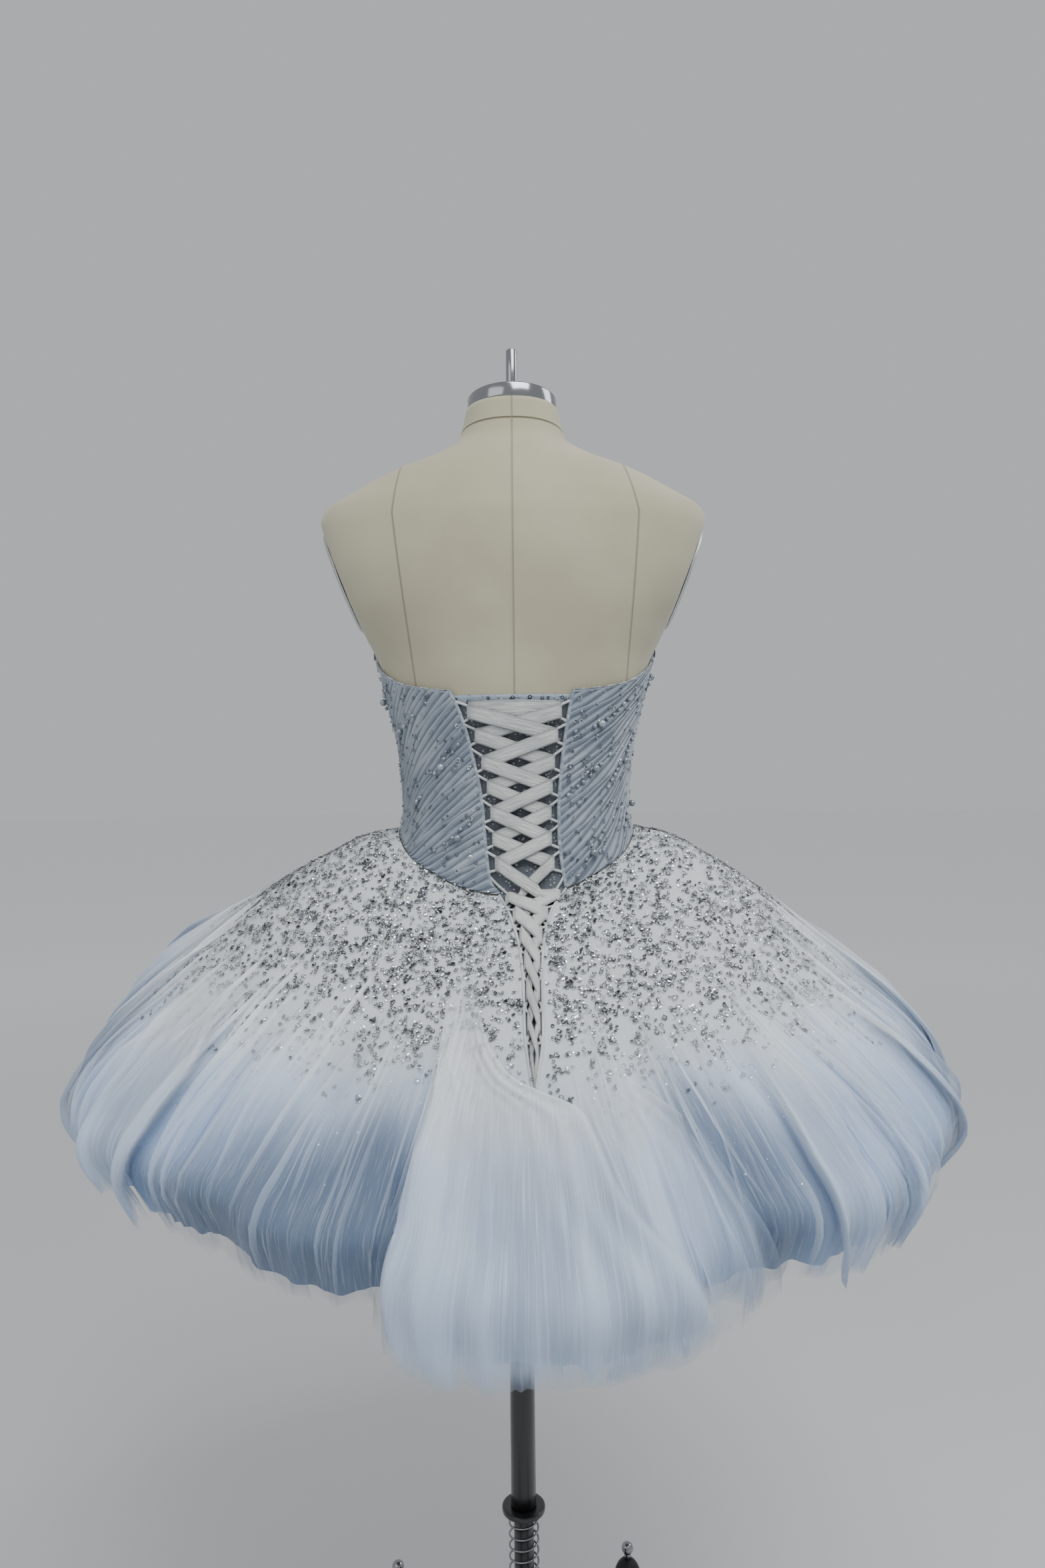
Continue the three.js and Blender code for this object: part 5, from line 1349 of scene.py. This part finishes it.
def pearls():
    graph = bpy.context.evaluated_depsgraph_get()
    trees = {side: BVHTree.FromObject(bodices[side], graph) for side in bodices}
    rng = np.random.default_rng(3)
    points, normals, sizes = [], [], []
    for side, strings in pearlStrings.items():
        for string in strings:
            for pixel in string:
                for tree in (trees[side], trees["front"]):
                    spot, normal, _, _ = tree.ray_cast(*throughPixel(*pixel))
                    if spot:
                        break
                if not spot:
                    continue
                size = rng.uniform(7.0, 7.8) if pixel in bigPearls else rng.uniform(3.2, 5.0)
                points.append(np.array(spot) / mm + np.array(normal) * size * 0.42)
                normals.append(np.array(normal))
                sizes.append(size)
    for angle, z, length in frontStrings:
        count = int(rng.integers(6, 10))
        for step in range(count):
            share = step / count
            size = 7.4 if step == count // 2 else rng.uniform(3.2, 4.8)
            at = angle - np.degrees(share * length * 0.88 / pleats["unrolled"]) + rng.normal(0, 0.4)
            down = z - share * length * 0.47 + rng.normal(0, 1.2)
            if not bodiceWaist(abs(wrap(at))) + 6 < down < bodiceTop(abs(wrap(at))) - 6:
                continue
            points.append(bodyPoint(down, at, bodiceLift(at) + 1.4 + size * 0.42))
            normals.append(polar(1.0, at, 0.0))
            sizes.append(size)
    return scattered("pearls", beadShape, points, normals, sizes, rng, 0.1)


def pearlFinish():
    f = Finish("pearl", Metallic=0.55, Coat_Weight=0.6, Coat_Roughness=0.08)
    tint = f.value("tint")
    return f.paint(Base_Color=f.mix(tint, tone(122, 130, 140), tone(176, 184, 192)),
                   Roughness=f.step(tint, 0, 1, 0.14, 0.26))


finishPiece(pearls(), pearlFinish())


def bodiceSequins(name, shape, count, seed, sizes, material):
    rng = np.random.default_rng(seed)
    points, normals = [], []
    while len(points) < count:
        angle = rng.uniform(-180, 180)
        low, high = bodiceWaist(abs(angle)) + 4, bodiceTop(abs(angle)) - 4
        z = rng.uniform(low, high)
        x = float((formReach(z, angle) + bedLift) * sin(radians(angle)))
        if abs(angle) < 60 and laceEdge["left"](z) - 3 < x < laceEdge["right"](z) + 3:
            continue
        points.append(bodyPoint(z, angle, bodiceLift(angle) + 2.1))
        normals.append(polar(1.0, angle, 0.0))
    item = scattered(name, shape, points, normals, rng.uniform(*sizes, count), rng, 0.25)
    return finishPiece(item, material)


clear = silverFinish("clearSequin", tone(214, 220, 226), tone(112, 121, 133), 0.2)
bodiceSequins("bodiceRings", ringShape, 420, 41, (3.6, 5.8), clear)
bodiceSequins("bodiceCups", cupShape, 520, 42, (2.0, 3.4), silver)
bodiceSequins("bodiceGlints", flakeShape, 500, 43, (0.8, 1.5), bright)


def modestyRings():  # dark rings along the net strip at the top
    rng, count = np.random.default_rng(46), 44
    x, z = rng.uniform(-68, 62, count), 1166 - rng.uniform(1, 11, count)
    angle = angleAtX(z, x, 2.6)
    return scattered("modestyRings", ringShape, bodyPoint(z, angle, 2.7), polar(1.0, angle, 0.0),
                     rng.uniform(2.8, 5.2, count), rng, 0.15)


darkRing = silverFinish("darkRing", tone(120, 124, 130), tone(52, 56, 62), 0.2)
finishPiece(modestyRings(), darkRing)
print("sequins and beads sewn")


# plain floor, soft light
def stageFinish():
    f = Finish("studioPaint", Roughness=0.9)
    cloud = f.noise(f.place(1.5, 1.5, 1.5), 2)
    away = f.node("VectorMath", dict(operation="LENGTH"), f.place(), out=1)
    colour = f.mix(cloud, tone(208, 210, 211), tone(213, 215, 216))
    return f.paint(Base_Color=f.mix(f.step(away, 1.2, 6.0), colour, (0.98, 0.98, 0.98, 1.0)))


bm = bmesh.new()
bmesh.ops.create_circle(bm, cap_ends=True, segments=96, radius=40)
floor = fromBmesh("studioFloor", bm)
floor.data.materials.append(stageFinish())
world = bpy.data.worlds.new("studio")
world.use_nodes = True
world.node_tree.nodes["Background"].inputs["Color"].default_value = (0.84, 0.86, 0.88, 1)
world.node_tree.nodes["Background"].inputs["Strength"].default_value = 0.6
bpy.context.scene.world = world
# each light: place, what it is aimed at, size and power
lights = dict(key=((0.7, -1.5, 3.4), (0, 0, 0.9), 1.8, 66), wash=((-1.8, -2.0, 2.2), (0, 0, 0.9), 1.8, 12),
              rim=((2.5, 0.8, 2.6), (0, 0, 1.0), 1.2, 16))
for name, (place, aim, size, power) in lights.items():
    lamp = bpy.data.lights.new(name, "AREA")
    lamp.size, lamp.energy = size, power
    holder = bpy.data.objects.new(name, lamp)
    holder.location = place
    holder.rotation_euler = (Vector(aim) - Vector(place)).to_track_quat("-Z", "Y").to_euler()
    bpy.context.scene.collection.objects.link(holder)
